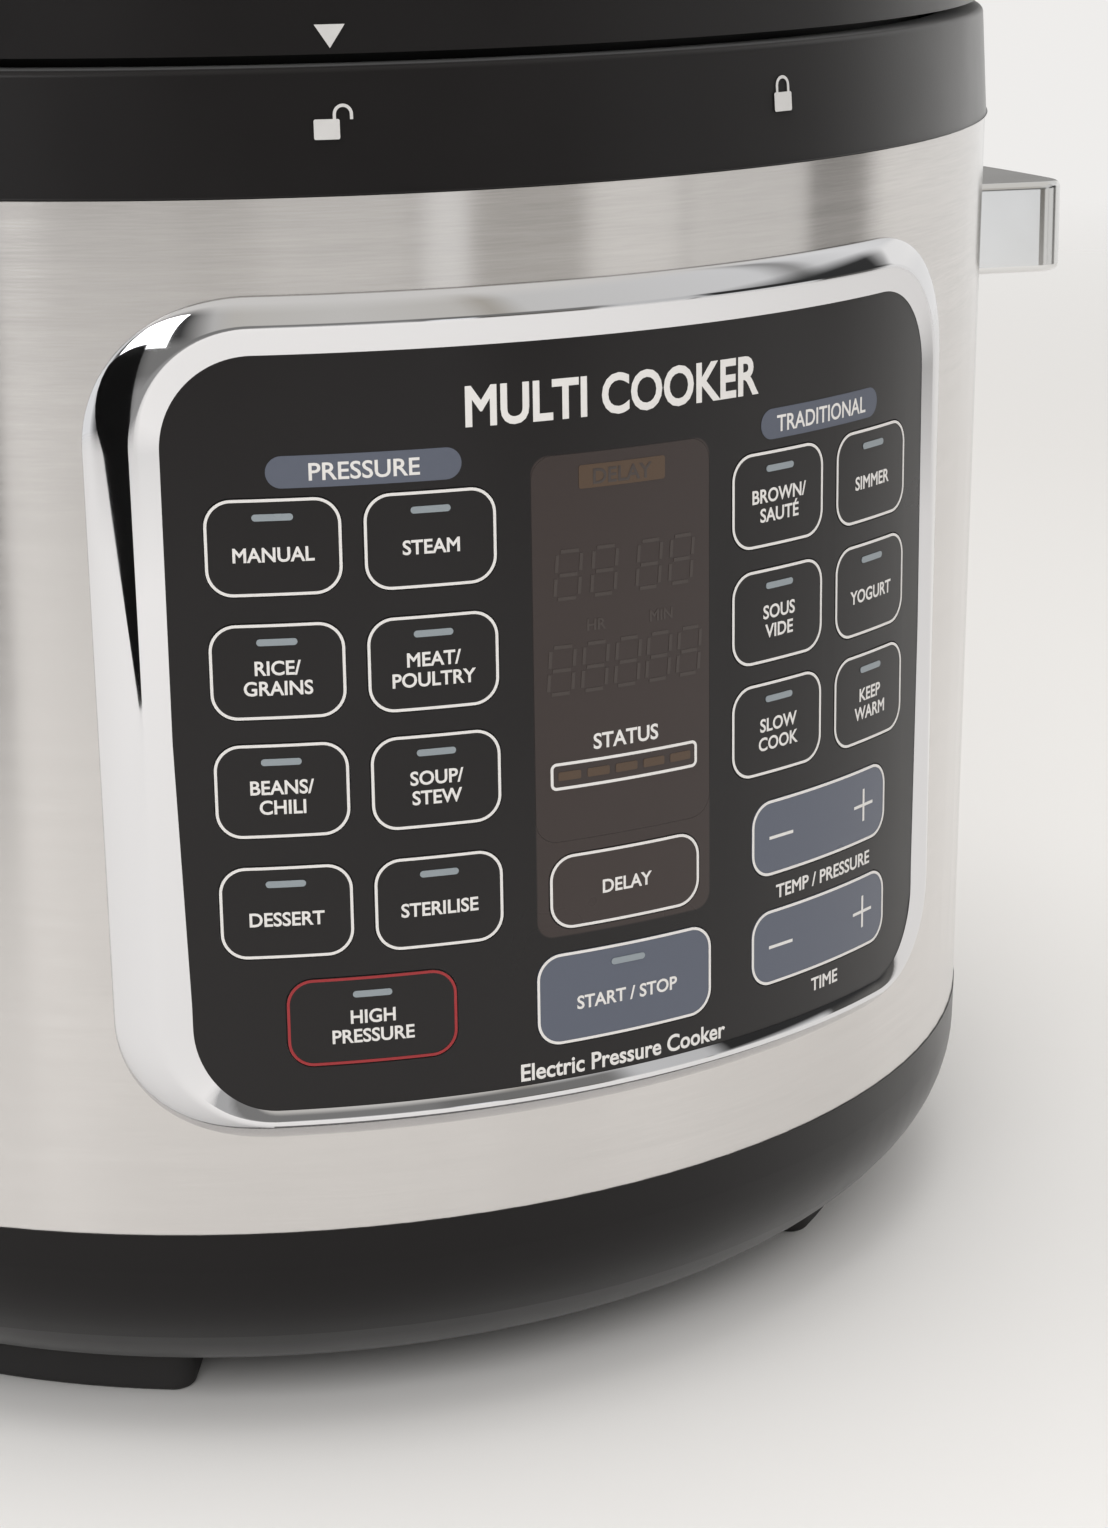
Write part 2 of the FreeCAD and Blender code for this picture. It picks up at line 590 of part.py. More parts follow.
def panel_overlay():
    """Printed front plate with an opening for each key and for the display window."""
    plate = wrapped_block(PANEL_R - PANEL_T, PANEL_R, 0.0, PANEL_Z, PANEL_HALF_W * 2, PANEL_HALF_H * 2,
                          PANEL_CORNER)
    for _, along, height, width, tall in [*KEYS, *ROCKERS]:
        plate = plate.cut(wrapped_block(PANEL_R - 5.0, PANEL_R + 5.0, along, height,
                                        width + 2 * KEY_GAP, tall + 2 * KEY_GAP, KEY_CORNER + KEY_GAP))
    along, height, width, tall = WINDOW
    return solid(plate.cut(wrapped_block(PANEL_R - 5.0, PANEL_R + 5.0, along, height, width, tall, 4.0)))


def display_window():
    along, height, width, tall = WINDOW
    return solid(wrapped_block(PANEL_R - PANEL_T, PANEL_R, along, height, width - 0.1, tall - 0.1, 3.95))


def display_module():
    """Display behind the window, with its pin header towards the control board."""
    _, height, width, tall = WINDOW
    half = width / 2.0 - 0.6
    glass = box((-half, -142.9, height - tall / 2.0 + 1.0), (half, -140.0, height + tall / 2.0 - 1.0))
    frame = box((-half - 1.0, -140.0, height - tall / 2.0), (half + 1.0, -134.0, height + tall / 2.0))
    header = box((-14.0, -134.0, height - 26.0), (14.0, BOARD_FACE, height - 22.0))
    return solid(glass.fuse(frame).fuse(header))


SHEET_R = 141.3         # outer radius of the keypad membrane
CARRIER_R = 140.9
BOARD_FACE = -121.0     # front face of the control board


def display_notch(inner, outer):
    _, height, width, tall = WINDOW
    return wrapped_block(inner, outer, 0.0, height, width + 5.0, tall + 3.0, 2.0)


def keypad_membrane():
    """Flexible circuit wrapped round the carrier, with a snap dome behind each key."""
    sheet = wrapped_block(CARRIER_R, SHEET_R, 0.0, PANEL_Z, 150.0, 118.0, 6.0)
    for _, along, height, _, _ in KEYS:
        sheet = sheet.fuse(radial_rod(3.0, SHEET_R - 0.2, SHEET_R + 0.6, along, height))
    for _, along, height, width, _ in ROCKERS:
        for place in (along - width * ROCKER_FOOT, along + width * ROCKER_FOOT):
            sheet = sheet.fuse(radial_rod(3.0, SHEET_R - 0.2, SHEET_R + 0.3, place, height))
    return solid(sheet.cut(display_notch(CARRIER_R - 2.0, SHEET_R + 2.0)))


def panel_carrier():
    """Rigid curved frame behind the keypad, with the board's stand-offs."""
    carrier = wrapped_block(CARRIER_R - 2.4, CARRIER_R, 0.0, PANEL_Z, 156.0, 124.0, 8.0)
    carrier = carrier.cut(display_notch(CARRIER_R - 10.0, CARRIER_R + 2.0))
    for x in (-50.0, 50.0):
        for z in (PANEL_Z - 50.0, PANEL_Z + 50.0):
            post = Part.makeCylinder(3.0, 14.0, V(x, BOARD_FACE, z), V(0, -1, 0))
            keep_in = disc(CARRIER_R - 1.0, z - 10.0, z + 10.0)
            carrier = carrier.fuse(post.common(keep_in))
    return solid(carrier)


def control_board():
    """Upright board behind the panel, with its controller chip and lead socket."""
    board = box((-58.0, BOARD_FACE, PANEL_Z - 56.0), (58.0, BOARD_FACE + BOARD_T, PANEL_Z + 56.0))
    chip = box((-40.0, BOARD_FACE - 2.4, PANEL_Z - 30.0), (-26.0, BOARD_FACE, PANEL_Z - 16.0))
    plug = box((26.0, BOARD_FACE - 6.0, PANEL_Z - 50.0), (44.0, BOARD_FACE, PANEL_Z - 42.0))
    return solid(board.fuse(chip).fuse(plug))


def push_key(along, height, width, tall):
    """A key cap: a face flush with the panel, a flange behind it and a plunger over its dome."""
    flange_out = PANEL_R - PANEL_T - KEY_GAP
    face = wrapped_block(flange_out - 0.8, PANEL_R, along, height, width, tall, KEY_CORNER)
    flange = wrapped_block(flange_out - 0.8, flange_out, along, height, width + 2 * KEY_FLANGE,
                           tall + 2 * KEY_FLANGE, KEY_CORNER + KEY_FLANGE)
    plunger = radial_rod(2.0, SHEET_R + 0.6 + KEY_TRAVEL + 0.1, flange_out - 0.4, along, height)
    return solid(face.fuse(flange).fuse(plunger))


def rocker_key(along, height, width, tall):
    """A key that rocks on a round upright rib behind its middle, with a plunger under each end."""
    flange_out = PANEL_R - PANEL_T - 0.9
    face = wrapped_block(flange_out - 0.8, PANEL_R, along, height, width, tall, KEY_CORNER)
    flange = wrapped_block(flange_out - 0.8, flange_out, along, height, width + KEY_FLANGE,
                           tall + 2 * KEY_FLANGE, KEY_CORNER + KEY_FLANGE / 2.0)
    pivot_x, pivot_y = polar(ROCKER_AXIS_R, math.degrees(along / PANEL_R))
    rib = disc(ROCKER_PIVOT, height - tall / 2.0, height + tall / 2.0, pivot_x, pivot_y)
    made = face.fuse(flange).fuse(rib)
    for place in (along - width * ROCKER_FOOT, along + width * ROCKER_FOOT):
        made = made.fuse(radial_rod(1.6, SHEET_R + 0.3 + KEY_TRAVEL + 0.1, flange_out - 0.4, place, height))
    return solid(made)


# ---- cooking pot and lid ------------------------------------------------------------------------
def inner_pot():
    """Lift-out cooking pot with a rolled rim."""
    r, t, low, top = POT_R, POT_T, POT_BASE, POT_RIM
    bend, inner_bend = 14.0, 12.0
    s = 1.0 - math.sqrt(0.5)
    return solid(lathe([
        (0.0, low), (r - bend, low), ((r - bend * s, low + bend * s), (r, low + bend)),
        (r, top - 1.6), (118.2, top - 1.6), ((119.0, top - 0.8), (118.2, top)),
        (r - t + 1.5, top), ((r - t + 0.44, top - 0.44), (r - t, top - 1.5)),
        (r - t, low + 2.0 + inner_bend),
        ((r - t - inner_bend * s, low + 2.0 + inner_bend * s), (r - t - inner_bend, low + 2.0)),
        (0.0, low + 2.0),
    ]))


INNER_LID_R = 121.0
INNER_LID_Z = (222.6, 234.0)
INNER_LID_T = 1.6


def sealing_gasket():
    """Silicone ring in the inner lid: a thick outer band and a lip that meets the pot's rim."""
    low = POT_RIM + 0.4
    return lathe([
        (109.0, low), (118.6, low), (118.9, low + 3.0), (118.9, INNER_LID_Z[1] - INNER_LID_T - 0.3),
        (112.5, INNER_LID_Z[1] - INNER_LID_T - 0.3), (112.5, low + 3.6), (110.5, low + 3.0),
    ])


def inner_lid():
    """Steel pressure plate with a turned-down rim that ends in bayonet teeth."""
    low, high = INNER_LID_Z
    t = INNER_LID_T
    plate = lathe([
        (0.0, high - t), (INNER_LID_R - t, high - t), (INNER_LID_R - t, low), (INNER_LID_R, low),
        (INNER_LID_R, high - 1.0), (INNER_LID_R - 1.0, high), (0.0, high),
    ])
    for azimuth in around(TEETH, 180.0 / TEETH):
        plate = plate.fuse(ring(INNER_LID_R - 0.5, LID_TOOTH_R, low, low + 2.4, 2 * TOOTH_HALF_DEG, azimuth))
    plate = plate.cut(disc(5.0, high - 5.0, high + 5.0, *DIAL_AT))
    plate = plate.cut(disc(3.4, high - 5.0, high + 5.0, *FLOAT_AT))
    for x, y in lid_screw_places():
        plate = plate.cut(disc(2.0, high - 5.0, high + 5.0, x, y))
    return solid(plate)


def lid_screw_places():
    return [polar(88.0, a) for a in around(3, 0.0)]


def dome_outline(inset=0.0):
    """Outside of the lid cover from its skirt to its centre, as lathe items after (LID_R, foot)."""
    r = LID_R - inset
    top = DOME_TOP - inset
    return [
        (r - 0.6, 250.0 - inset), ((r - 5.2, 260.4 - inset), (r - 18.0, 265.4 - inset)),
        ((r - 64.0, 277.6 - inset), (0.0, top)),
    ]


def lid_cover():
    """Moulded lid cover with a skirt, a dial seat, screw bosses and a float well."""
    foot = COLLAR_TOP + LID_GAP
    outside = lathe([(0.0, foot), (LID_R, foot), *dome_outline()])
    hollow = lathe([(0.0, foot - 1.0), (LID_R - 2.6, foot - 1.0), *dome_outline(2.6)])
    below = lathe([(0.0, foot - 20.0), (LID_R, foot - 20.0), (LID_R, foot), *dome_outline()])
    cover = outside.cut(hollow)
    x, y = DIAL_AT
    cover = cover.fuse(disc(DIAL_R + 3.5, 268.0, DIAL_Z[0] - 0.5, x, y).cut(hollow))
    cover = cover.fuse(ring(129.6, 131.8, 232.0, 270.0).common(below))
    for sx, sy in lid_screw_places():
        cover = cover.fuse(disc(5.5, INNER_LID_Z[1] + 0.1, 280.0, sx, sy).common(below))
        cover = cover.cut(disc(1.4, INNER_LID_Z[1] - 1.0, INNER_LID_Z[1] + 14.0, sx, sy))
    fx, fy = FLOAT_AT
    cover = cover.fuse(ring(4.4, 7.0, 236.0, 280.0).translated(V(fx, fy, 0)).common(below))
    cover = cover.cut(disc(4.4, 230.0, 300.0, fx, fy))
    cover = cover.cut(disc(9.6, 250.0, 300.0, x, y))
    return solid(cover)


def lid_screws():
    return screws(lid_screw_places(), INNER_LID_Z[1] - INNER_LID_T, 12.0, shank=1.35)


def lid_handle():
    """Arched grip across the lid, seated on the dome."""
    foot = 255.0
    toe_out, toe_in, shoulder, knuckle = 92.0, 70.0, 76.0, 59.0
    top, under = OVERALL_H, OVERALL_H - 13.0
    shoulder_z, knuckle_z = top - 4.0, under - 3.0
    outside = [V(x, 0, z) for x, z in (
        (-toe_out, foot), (-shoulder, shoulder_z), (shoulder, shoulder_z), (toe_out, foot))]
    gap = [V(x, 0, z) for x, z in (
        (toe_in, foot), (knuckle, knuckle_z), (-knuckle, knuckle_z), (-toe_in, foot))]
    edges = [
        Part.makeLine(outside[0], outside[1]), Part.Arc(outside[1], V(0, 0, top), outside[2]).toShape(),
        Part.makeLine(outside[2], outside[3]), Part.makeLine(outside[3], gap[0]),
        Part.makeLine(gap[0], gap[1]), Part.Arc(gap[1], V(0, 0, under), gap[2]).toShape(),
        Part.makeLine(gap[2], gap[3]), Part.makeLine(gap[3], outside[0]),
    ]
    grip = Part.Face(Part.Wire(edges)).extrude(V(0, HANDLE_DEPTH, 0)).translated(V(0, -HANDLE_DEPTH / 2.0, 0))
    for corner_z, corner_r in ((shoulder_z, 20.0), (knuckle_z, 9.0)):
        grip = fillet(grip, corner_r, lambda e: e.BoundBox.XLength < 1e-6
                      and abs(e.BoundBox.ZMax - corner_z) < 1e-3)
    grip = fillet(grip, 4.5, lambda e: e.BoundBox.YLength < 1e-6 and e.BoundBox.ZMax > foot + 1.0)
    rim = COLLAR_TOP + LID_GAP
    dome = lathe([(0.0, rim - 20.0), (LID_R, rim - 20.0), (LID_R, rim), *dome_outline()])
    return solid(grip.cut(dome))


def vent_pipe():
    """Steam nozzle through the inner lid."""
    x, y = DIAL_AT
    low = INNER_LID_Z[1] - INNER_LID_T
    pipe = disc(4.8, low - 6.0, 290.0, x, y).fuse(disc(8.6, low + INNER_LID_T, low + INNER_LID_T + 4.0, x, y))
    pipe = pipe.fuse(Part.makeCone(4.8, 3.0, 2.0, V(x, y, 290.0)))
    return solid(pipe.cut(disc(1.6, low - 10.0, 300.0, x, y)))


def hexagon(across, low, high, x, y):
    r = across / 2.0 / math.cos(math.pi / 6.0)
    points = [V(x + r * math.cos(math.radians(a)), y + r * math.sin(math.radians(a)), low) for a in around(6)]
    return Part.Face(Part.makePolygon([*points, points[0]])).extrude(V(0, 0, high - low))


def vent_nut():
    x, y = DIAL_AT
    low = INNER_LID_Z[1] - INNER_LID_T
    return solid(hexagon(14.0, low - 4.0, low, x, y).cut(disc(4.8, low - 5.0, low + 1.0, x, y)))


def vent_filter():
    """Slotted cap under the lid that keeps food out of the nozzle."""
    x, y = DIAL_AT
    high = INNER_LID_Z[1] - INNER_LID_T
    low = high - 11.0
    cap = disc(13.0, low, high, x, y).cut(disc(11.8, low + 1.2, high + 1.0, x, y))
    for i in range(4):
        slot = box((-20.0, -0.9, low + 2.6), (20.0, 0.9, high - 2.2))
        slot.rotate(ORIGIN, Z_AXIS, 45.0 * i)
        cap = cap.cut(slot.translated(V(x, y, 0)))
    return solid(cap)


WEIGHT_Z = (284.6, 297.0)
ARM_Z = 288.4           # underside of the weight's lifting arms


def valve_weight():
    """Pressure-limiting weight that sits on the nozzle, with two arms for the dial's cam."""
    x, y = DIAL_AT
    low, high = WEIGHT_Z
    weight = lathe([(0.0, low), (9.0, low), (9.0, high - 1.0), (8.0, high), (0.0, high)])
    weight = weight.cut(disc(5.3, low - 1.0, 290.4)).cut(Part.makeCone(5.3, 2.6, 2.4, V(0, 0, 290.2)))
    arms = box((-14.2, -2.4, ARM_Z), (14.2, 2.4, ARM_Z + 2.4)).common(disc(14.2, 280.0, 300.0))
    arms = arms.cut(disc(8.0, 280.0, 300.0))
    return solid(weight.fuse(arms)).translated(V(x, y, 0))


def steam_dial():
    """Steam-release dial: a ribbed knob whose inner ramps lift the pressure weight as it turns."""
    x, y = DIAL_AT
    low, high = DIAL_Z
    knob = lathe([
        (DIAL_R - 2.6, low), (DIAL_R, low), (DIAL_R - 0.8, high - 2.5),
        ((DIAL_R - 1.6, high - 0.8), (DIAL_R - 3.4, high)),
        (11.0, high), (11.0, high - 2.5), (DIAL_R - 3.6, high - 2.5),
    ])
    knob = knob.fuse(ring(14.6, 16.6, low, high - 2.0))
    pitch = CAM_RISE_PER_90 * 4.0
    lead_deg, sweep_deg = 7.0, 104.0
    ramp_in, ramp_out, ramp_t = 11.4, 14.9, 1.5
    ramp_top = ARM_Z - 0.5 - pitch * lead_deg / 360.0
    section = Part.makePolygon([
        V(ramp_in, 0, -ramp_t), V(ramp_out, 0, -ramp_t), V(ramp_out, 0, 0), V(ramp_in, 0, 0),
        V(ramp_in, 0, -ramp_t)])
    for start in (-lead_deg, 180.0 - lead_deg):
        helix = Part.makeHelix(pitch, pitch * sweep_deg / 360.0, (ramp_in + ramp_out) / 2.0)
        ramp = Part.Wire(helix).makePipeShell([section], True, True)
        ramp.translate(V(0, 0, ramp_top))
        ramp.rotate(ORIGIN, Z_AXIS, start)
        knob = knob.fuse(ramp)
    for azimuth in around(24):
        knob = knob.cut(disc(1.1, low, high, *polar(DIAL_R + 0.5, azimuth)))
    for azimuth in around(6):
        knob = knob.cut(ring(17.6, 21.4, high - 5.0, high + 1.0, 22.0, azimuth))
    return solid(knob).translated(V(x, y, 0))


def float_pin():
    """Pressure indicator: rises when the pot is under pressure."""
    x, y = FLOAT_AT
    foot, shoulder, top = 221.0, 275.0, 278.4
    stem = disc(2.6, foot, shoulder + 2.0, x, y)
    return solid(stem.fuse(disc(3.8, shoulder, top, x, y)).fuse(disc(6.2, foot, foot + 1.8, x, y)))


def float_seal():
    x, y = FLOAT_AT
    seal = disc(6.4, 222.8, 226.6, x, y).fuse(disc(5.2, 226.6, 227.1, x, y))
    return solid(seal.cut(disc(2.6, 220.0, 230.0, x, y)))


PARTS = {
    "base_shell": base_shell, "bottom_cover": bottom_cover, "cover_screws": cover_screws,
    "rubber_feet": rubber_feet, "steel_band": steel_band, "upper_collar": upper_collar,
    "liner_pot": liner_pot, "locking_ring": locking_ring, "heating_plate": heating_plate,
    "heating_element": heating_element, "pot_sensor": pot_sensor, "sensor_spring": sensor_spring,
    "sensor_bracket": sensor_bracket, "thermal_cutout": thermal_cutout, "power_board": power_board,
    "heater_leads": heater_leads, "power_inlet": power_inlet,
    "handle_left": lambda: side_handle(-1), "handle_right": lambda: side_handle(1),
    "cup_bracket": cup_bracket, "condensation_cup": condensation_cup,
    "panel_bezel": panel_bezel, "panel_overlay": panel_overlay, "display_window": display_window,
    "display_module": display_module, "keypad_membrane": keypad_membrane, "panel_carrier": panel_carrier,
    "control_board": control_board, "inner_pot": inner_pot, "sealing_gasket": sealing_gasket,
    "inner_lid": inner_lid, "lid_cover": lid_cover, "lid_screws": lid_screws, "lid_handle": lid_handle,
    "vent_pipe": vent_pipe, "vent_nut": vent_nut, "vent_filter": vent_filter,
    "valve_weight": valve_weight, "steam_dial": steam_dial, "float_pin": float_pin, "float_seal": float_seal,
    **{f"key_{k[0]}": lambda k=k: push_key(*k[1:]) for k in KEYS},
    **{f"rocker_{k[0]}": lambda k=k: rocker_key(*k[1:]) for k in ROCKERS},
}


def main():
    os.makedirs("parts", exist_ok=True)
    for name, make in PARTS.items():
        shape = make()
        sound = shape.isValid() and all(s.isClosed() and s.Volume > 0 for s in shape.Solids) and shape.Solids
        if not sound:
            raise ValueError(f"{name} is not a closed, valid solid")
        shape.exportStep(f"parts/{name}.step")
    print(len(PARTS), "parts")


main()
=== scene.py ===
import json
import math

import bmesh
import bpy
from mathutils import Matrix, Vector


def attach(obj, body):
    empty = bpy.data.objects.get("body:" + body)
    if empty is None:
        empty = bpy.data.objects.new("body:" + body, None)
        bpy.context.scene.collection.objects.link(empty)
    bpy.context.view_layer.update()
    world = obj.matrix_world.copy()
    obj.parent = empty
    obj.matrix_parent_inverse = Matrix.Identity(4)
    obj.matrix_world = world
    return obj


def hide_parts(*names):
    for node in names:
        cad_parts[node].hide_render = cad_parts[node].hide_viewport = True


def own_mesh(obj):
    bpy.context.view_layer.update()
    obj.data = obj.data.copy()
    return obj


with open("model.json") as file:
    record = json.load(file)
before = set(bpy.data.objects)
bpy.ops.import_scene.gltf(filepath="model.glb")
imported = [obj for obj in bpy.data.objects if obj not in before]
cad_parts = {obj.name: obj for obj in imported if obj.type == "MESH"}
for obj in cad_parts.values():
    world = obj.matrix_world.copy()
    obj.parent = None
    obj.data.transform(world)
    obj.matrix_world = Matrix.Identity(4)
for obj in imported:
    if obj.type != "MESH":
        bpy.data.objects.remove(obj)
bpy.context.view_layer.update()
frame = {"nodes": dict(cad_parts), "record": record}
NODES = frame["nodes"]
MM = 0.001
INK_LIFT = 0.02 * MM        # underside of a print above the face it lies on
INK_T = 0.05 * MM           # thickness of a print
CAP_SHARE = 0.729           # height of the lettering's capitals as a share of its size


# ---- reading the frame --------------------------------------------------------------------------
def radius_of(vertex):
    return math.hypot(vertex.co.x, vertex.co.y)


PANEL_R = max(radius_of(v) for v in NODES["panel_overlay"].data.vertices)


def along(x, y):
    """Distance round the curved panel face, from its middle towards +X."""
    return math.atan2(x, -y) * PANEL_R


def face_of(node):
    """Middle, width and height of the part of a node that is flush with the panel face."""
    on_face = [v.co for v in NODES[node].data.vertices if radius_of(v) > PANEL_R - 0.03 * MM]
    across = [along(p.x, p.y) for p in on_face]
    up = [p.z for p in on_face]
    return ((min(across) + max(across)) / 2, (min(up) + max(up)) / 2,
            max(across) - min(across), max(up) - min(up))


# ---- mesh helpers -------------------------------------------------------------------------------
def smooth(mesh, degrees=35.0):
    mesh.shade_smooth()
    mesh.set_sharp_from_angle(angle=math.radians(degrees))


def piece(name, verts, faces, material, body, stands_for=(), sharp=35.0):
    """A new mesh piece on a body, with its normals outward."""
    mesh = bpy.data.meshes.new(name)
    mesh.from_pydata(verts, [], faces)
    work = bmesh.new()
    work.from_mesh(mesh)
    bmesh.ops.remove_doubles(work, verts=work.verts, dist=1e-7)
    bmesh.ops.dissolve_degenerate(work, edges=work.edges, dist=1e-8)
    bmesh.ops.recalc_face_normals(work, faces=work.faces)
    work.to_mesh(mesh)
    work.free()
    smooth(mesh, sharp)
    mesh.materials.append(material)
    obj = bpy.data.objects.new(name, mesh)
    bpy.context.scene.collection.objects.link(obj)
    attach(obj, body)
    if stands_for:
        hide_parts(*stands_for)
    return obj


def skin(rings, size, loops):
    """Quads between neighbouring rings of points. loops joins the last ring to the first."""
    faces = []
    for i in range(rings if loops else rings - 1):
        j = (i + 1) % rings
        for k in range(size):
            m = (k + 1) % size
            faces.append((i * size + k, j * size + k, j * size + m, i * size + m))
    return faces


def rounded_path(points, step=0.15 * MM):
    """A polyline through (x, y, corner radius) points, with each corner as an arc."""
    out = []
    for i, (x, y, r) in enumerate(points):
        here = Vector((x, y))
        if r <= 0 or i in (0, len(points) - 1):
            out.append(here)
            continue
        to_last = (Vector(points[i - 1][:2]) - here).normalized()
        to_next = (Vector(points[i + 1][:2]) - here).normalized()
        half = to_last.angle(to_next) / 2
        back = r / math.tan(half)
        centre = here + (to_last + to_next).normalized() * (r / math.sin(half))
        start = here + to_last * back - centre
        turn = math.pi - 2 * half
        if start.x * to_next.y - start.y * to_next.x < 0:
            turn = -turn
        count = max(3, int(abs(turn) * r / step))
        for k in range(count + 1):
            a = turn * k / count
            out.append(centre + Vector((start.x * math.cos(a) - start.y * math.sin(a),
                                        start.x * math.sin(a) + start.y * math.cos(a))))
    return out


def lathe(name, profile, material, body, stands_for, count=288, sharp=35.0):
    """A closed surface of revolution from (radius, z, corner radius) points."""
    path = rounded_path([profile[-1], *profile, profile[0]])[1:-1]
    verts = []
    for i in range(count):
        a = 2 * math.pi * i / count
        verts += [(p.x * math.sin(a), -p.x * math.cos(a), p.y) for p in path]
    return piece(name, verts, skin(count, len(path), True), material, body, stands_for, sharp)


# ---- prints on a curved face --------------------------------------------------------------------
def panel_radius(z):
    return PANEL_R


def at_radius(s, z, r):
    """A point r from the Z axis. s is measured round it at the panel's radius."""
    a = s / PANEL_R
    return (r * math.sin(a), -r * math.cos(a), z)


def wrapped(s, z, radius, lift):
    """A point lifted off a face of revolution, whose radius is a function of height."""
    return at_radius(s, z, radius(z) + lift)


def ladder_mesh(ladders, radius, lift=INK_LIFT, thick=INK_T):
    """Closed thin plates from ladders: each is a list of ((s, z), (s, z)) rungs and whether it closes."""
    verts, faces = [], []
    for rungs, loops in ladders:
        base = len(verts)
        for a, b in rungs:
            verts += [wrapped(*a, radius, lift), wrapped(*b, radius, lift),
                      wrapped(*b, radius, lift + thick), wrapped(*a, radius, lift + thick)]
        count = len(rungs)
        for i in range(count if loops else count - 1):
            p, q = base + 4 * i, base + 4 * ((i + 1) % count)
            for k in range(4):
                m = (k + 1) % 4
                faces.append((p + k, p + m, q + m, q + k))
        if not loops:
            end = base + 4 * (count - 1)
            faces += [(base, base + 1, base + 2, base + 3), (end, end + 3, end + 2, end + 1)]
    return verts, faces


def outline_points(s, z, width, height, corner, step=1.2 * MM, turns=12):
    """Points with outward normals round a rounded rectangle, close enough together to bend."""
    points = []
    quarters = [(1, 1, 0.0), (-1, 1, 90.0), (-1, -1, 180.0), (1, -1, 270.0)]
    for i, (sx, sy, start) in enumerate(quarters):
        cx, cy = s + sx * (width / 2 - corner), z + sy * (height / 2 - corner)
        for k in range(turns + 1):
            a = math.radians(start + 90.0 * k / turns)
            n = (math.cos(a), math.sin(a))
            points.append(((cx + corner * n[0], cy + corner * n[1]), n))
        nx, ny, _ = quarters[(i + 1) % 4]
        ex, ey = s + nx * (width / 2 - corner), z + ny * (height / 2 - corner)
        run = math.hypot(ex - cx, ey - cy)
        last, normal = points[-1]
        count = max(1, int(run / step))
        for k in range(1, count):
            t = k / count
            points.append(((last[0] + (ex - cx) * t, last[1] + (ey - cy) * t), normal))
    return points


def outline(s, z, width, height, corner, line):
    rungs = [((p[0] - n[0] * line, p[1] - n[1] * line), p)
             for p, n in outline_points(s, z, width, height, corner)]
    return rungs, True


def filled(s, z, width, height, corner):
    """A filled rounded rectangle as upright rungs."""
    corner = min(corner, width / 2, height / 2)
    xs = [-width / 2 + corner * (1 - math.cos(math.pi / 2 * k / 8)) for k in range(9)]
    middle = width - 2 * corner
    count = max(1, int(middle / (1.2 * MM)))
    xs += [-width / 2 + corner + middle * k / count for k in range(1, count)]
    xs += [-x for x in xs[8::-1]]
    rungs = []
    for x in xs:
        over = max(0.0, abs(x) - (width / 2 - corner))
        drop = corner - math.sqrt(max(0.0, corner ** 2 - over ** 2))
        h = max(height / 2 - drop, 0.004 * MM)
        rungs.append(((s + x, z - h), (s + x, z + h)))
    return rungs, False


def stroke(points, line):
    """A line of constant width through points."""
    rungs = []
    for i, p in enumerate(points):
        a, b = Vector(points[max(i - 1, 0)]), Vector(points[min(i + 1, len(points) - 1)])
        d = (b - a).normalized()
        n = Vector((-d.y, d.x)) * line / 2
        rungs.append(((p[0] + n.x, p[1] + n.y), (p[0] - n.x, p[1] - n.y)))
    return rungs, False


def text_mesh(text, s, z, cap, stretch, radius, bold=0.0, fit=None):
    """Lettering centred on (s, z) as a closed thin mesh. cap is the height of its capitals."""
    curve = bpy.data.curves.new("lettering", "FONT")
    curve.body = text
    curve.size = cap / CAP_SHARE
    curve.bevel_depth = bold
    curve.bevel_resolution = 0
    curve.extrude = INK_T / 2
    curve.resolution_u = 4
    holder = bpy.data.objects.new("lettering", curve)
    bpy.context.scene.collection.objects.link(holder)
    made = bpy.data.meshes.new_from_object(holder.evaluated_get(bpy.context.evaluated_depsgraph_get()))
    bpy.data.objects.remove(holder)
    bpy.data.curves.remove(curve)
    low, high = min(v.co.x for v in made.vertices), max(v.co.x for v in made.vertices)
    k = stretch if fit is None else fit / (high - low)
    flat = INK_T / (INK_T + 2 * bold)
    verts = [wrapped(s + (v.co.x - (low + high) / 2) * k, z + v.co.y - cap / 2, radius,
                     INK_LIFT + INK_T / 2 + v.co.z * flat) for v in made.vertices]
    faces = [tuple(p.vertices) for p in made.polygons]
    bpy.data.meshes.remove(made)
    return verts, faces


def raised(part):
    """A print moved out by its own thickness, to lie on another print."""
    verts, faces = part
    k = 1 + INK_T / PANEL_R
    return [(x * k, y * k, z) for x, y, z in verts], faces


def joined(parts):
    verts, faces = [], []
    for v, f in parts:
        faces += [tuple(i + len(verts) for i in face) for face in f]
        verts += v
    return verts, faces


def printed(name, parts, material, body):
    verts, faces = joined(parts)
    return piece(name, verts, faces, material, body, sharp=20.0)


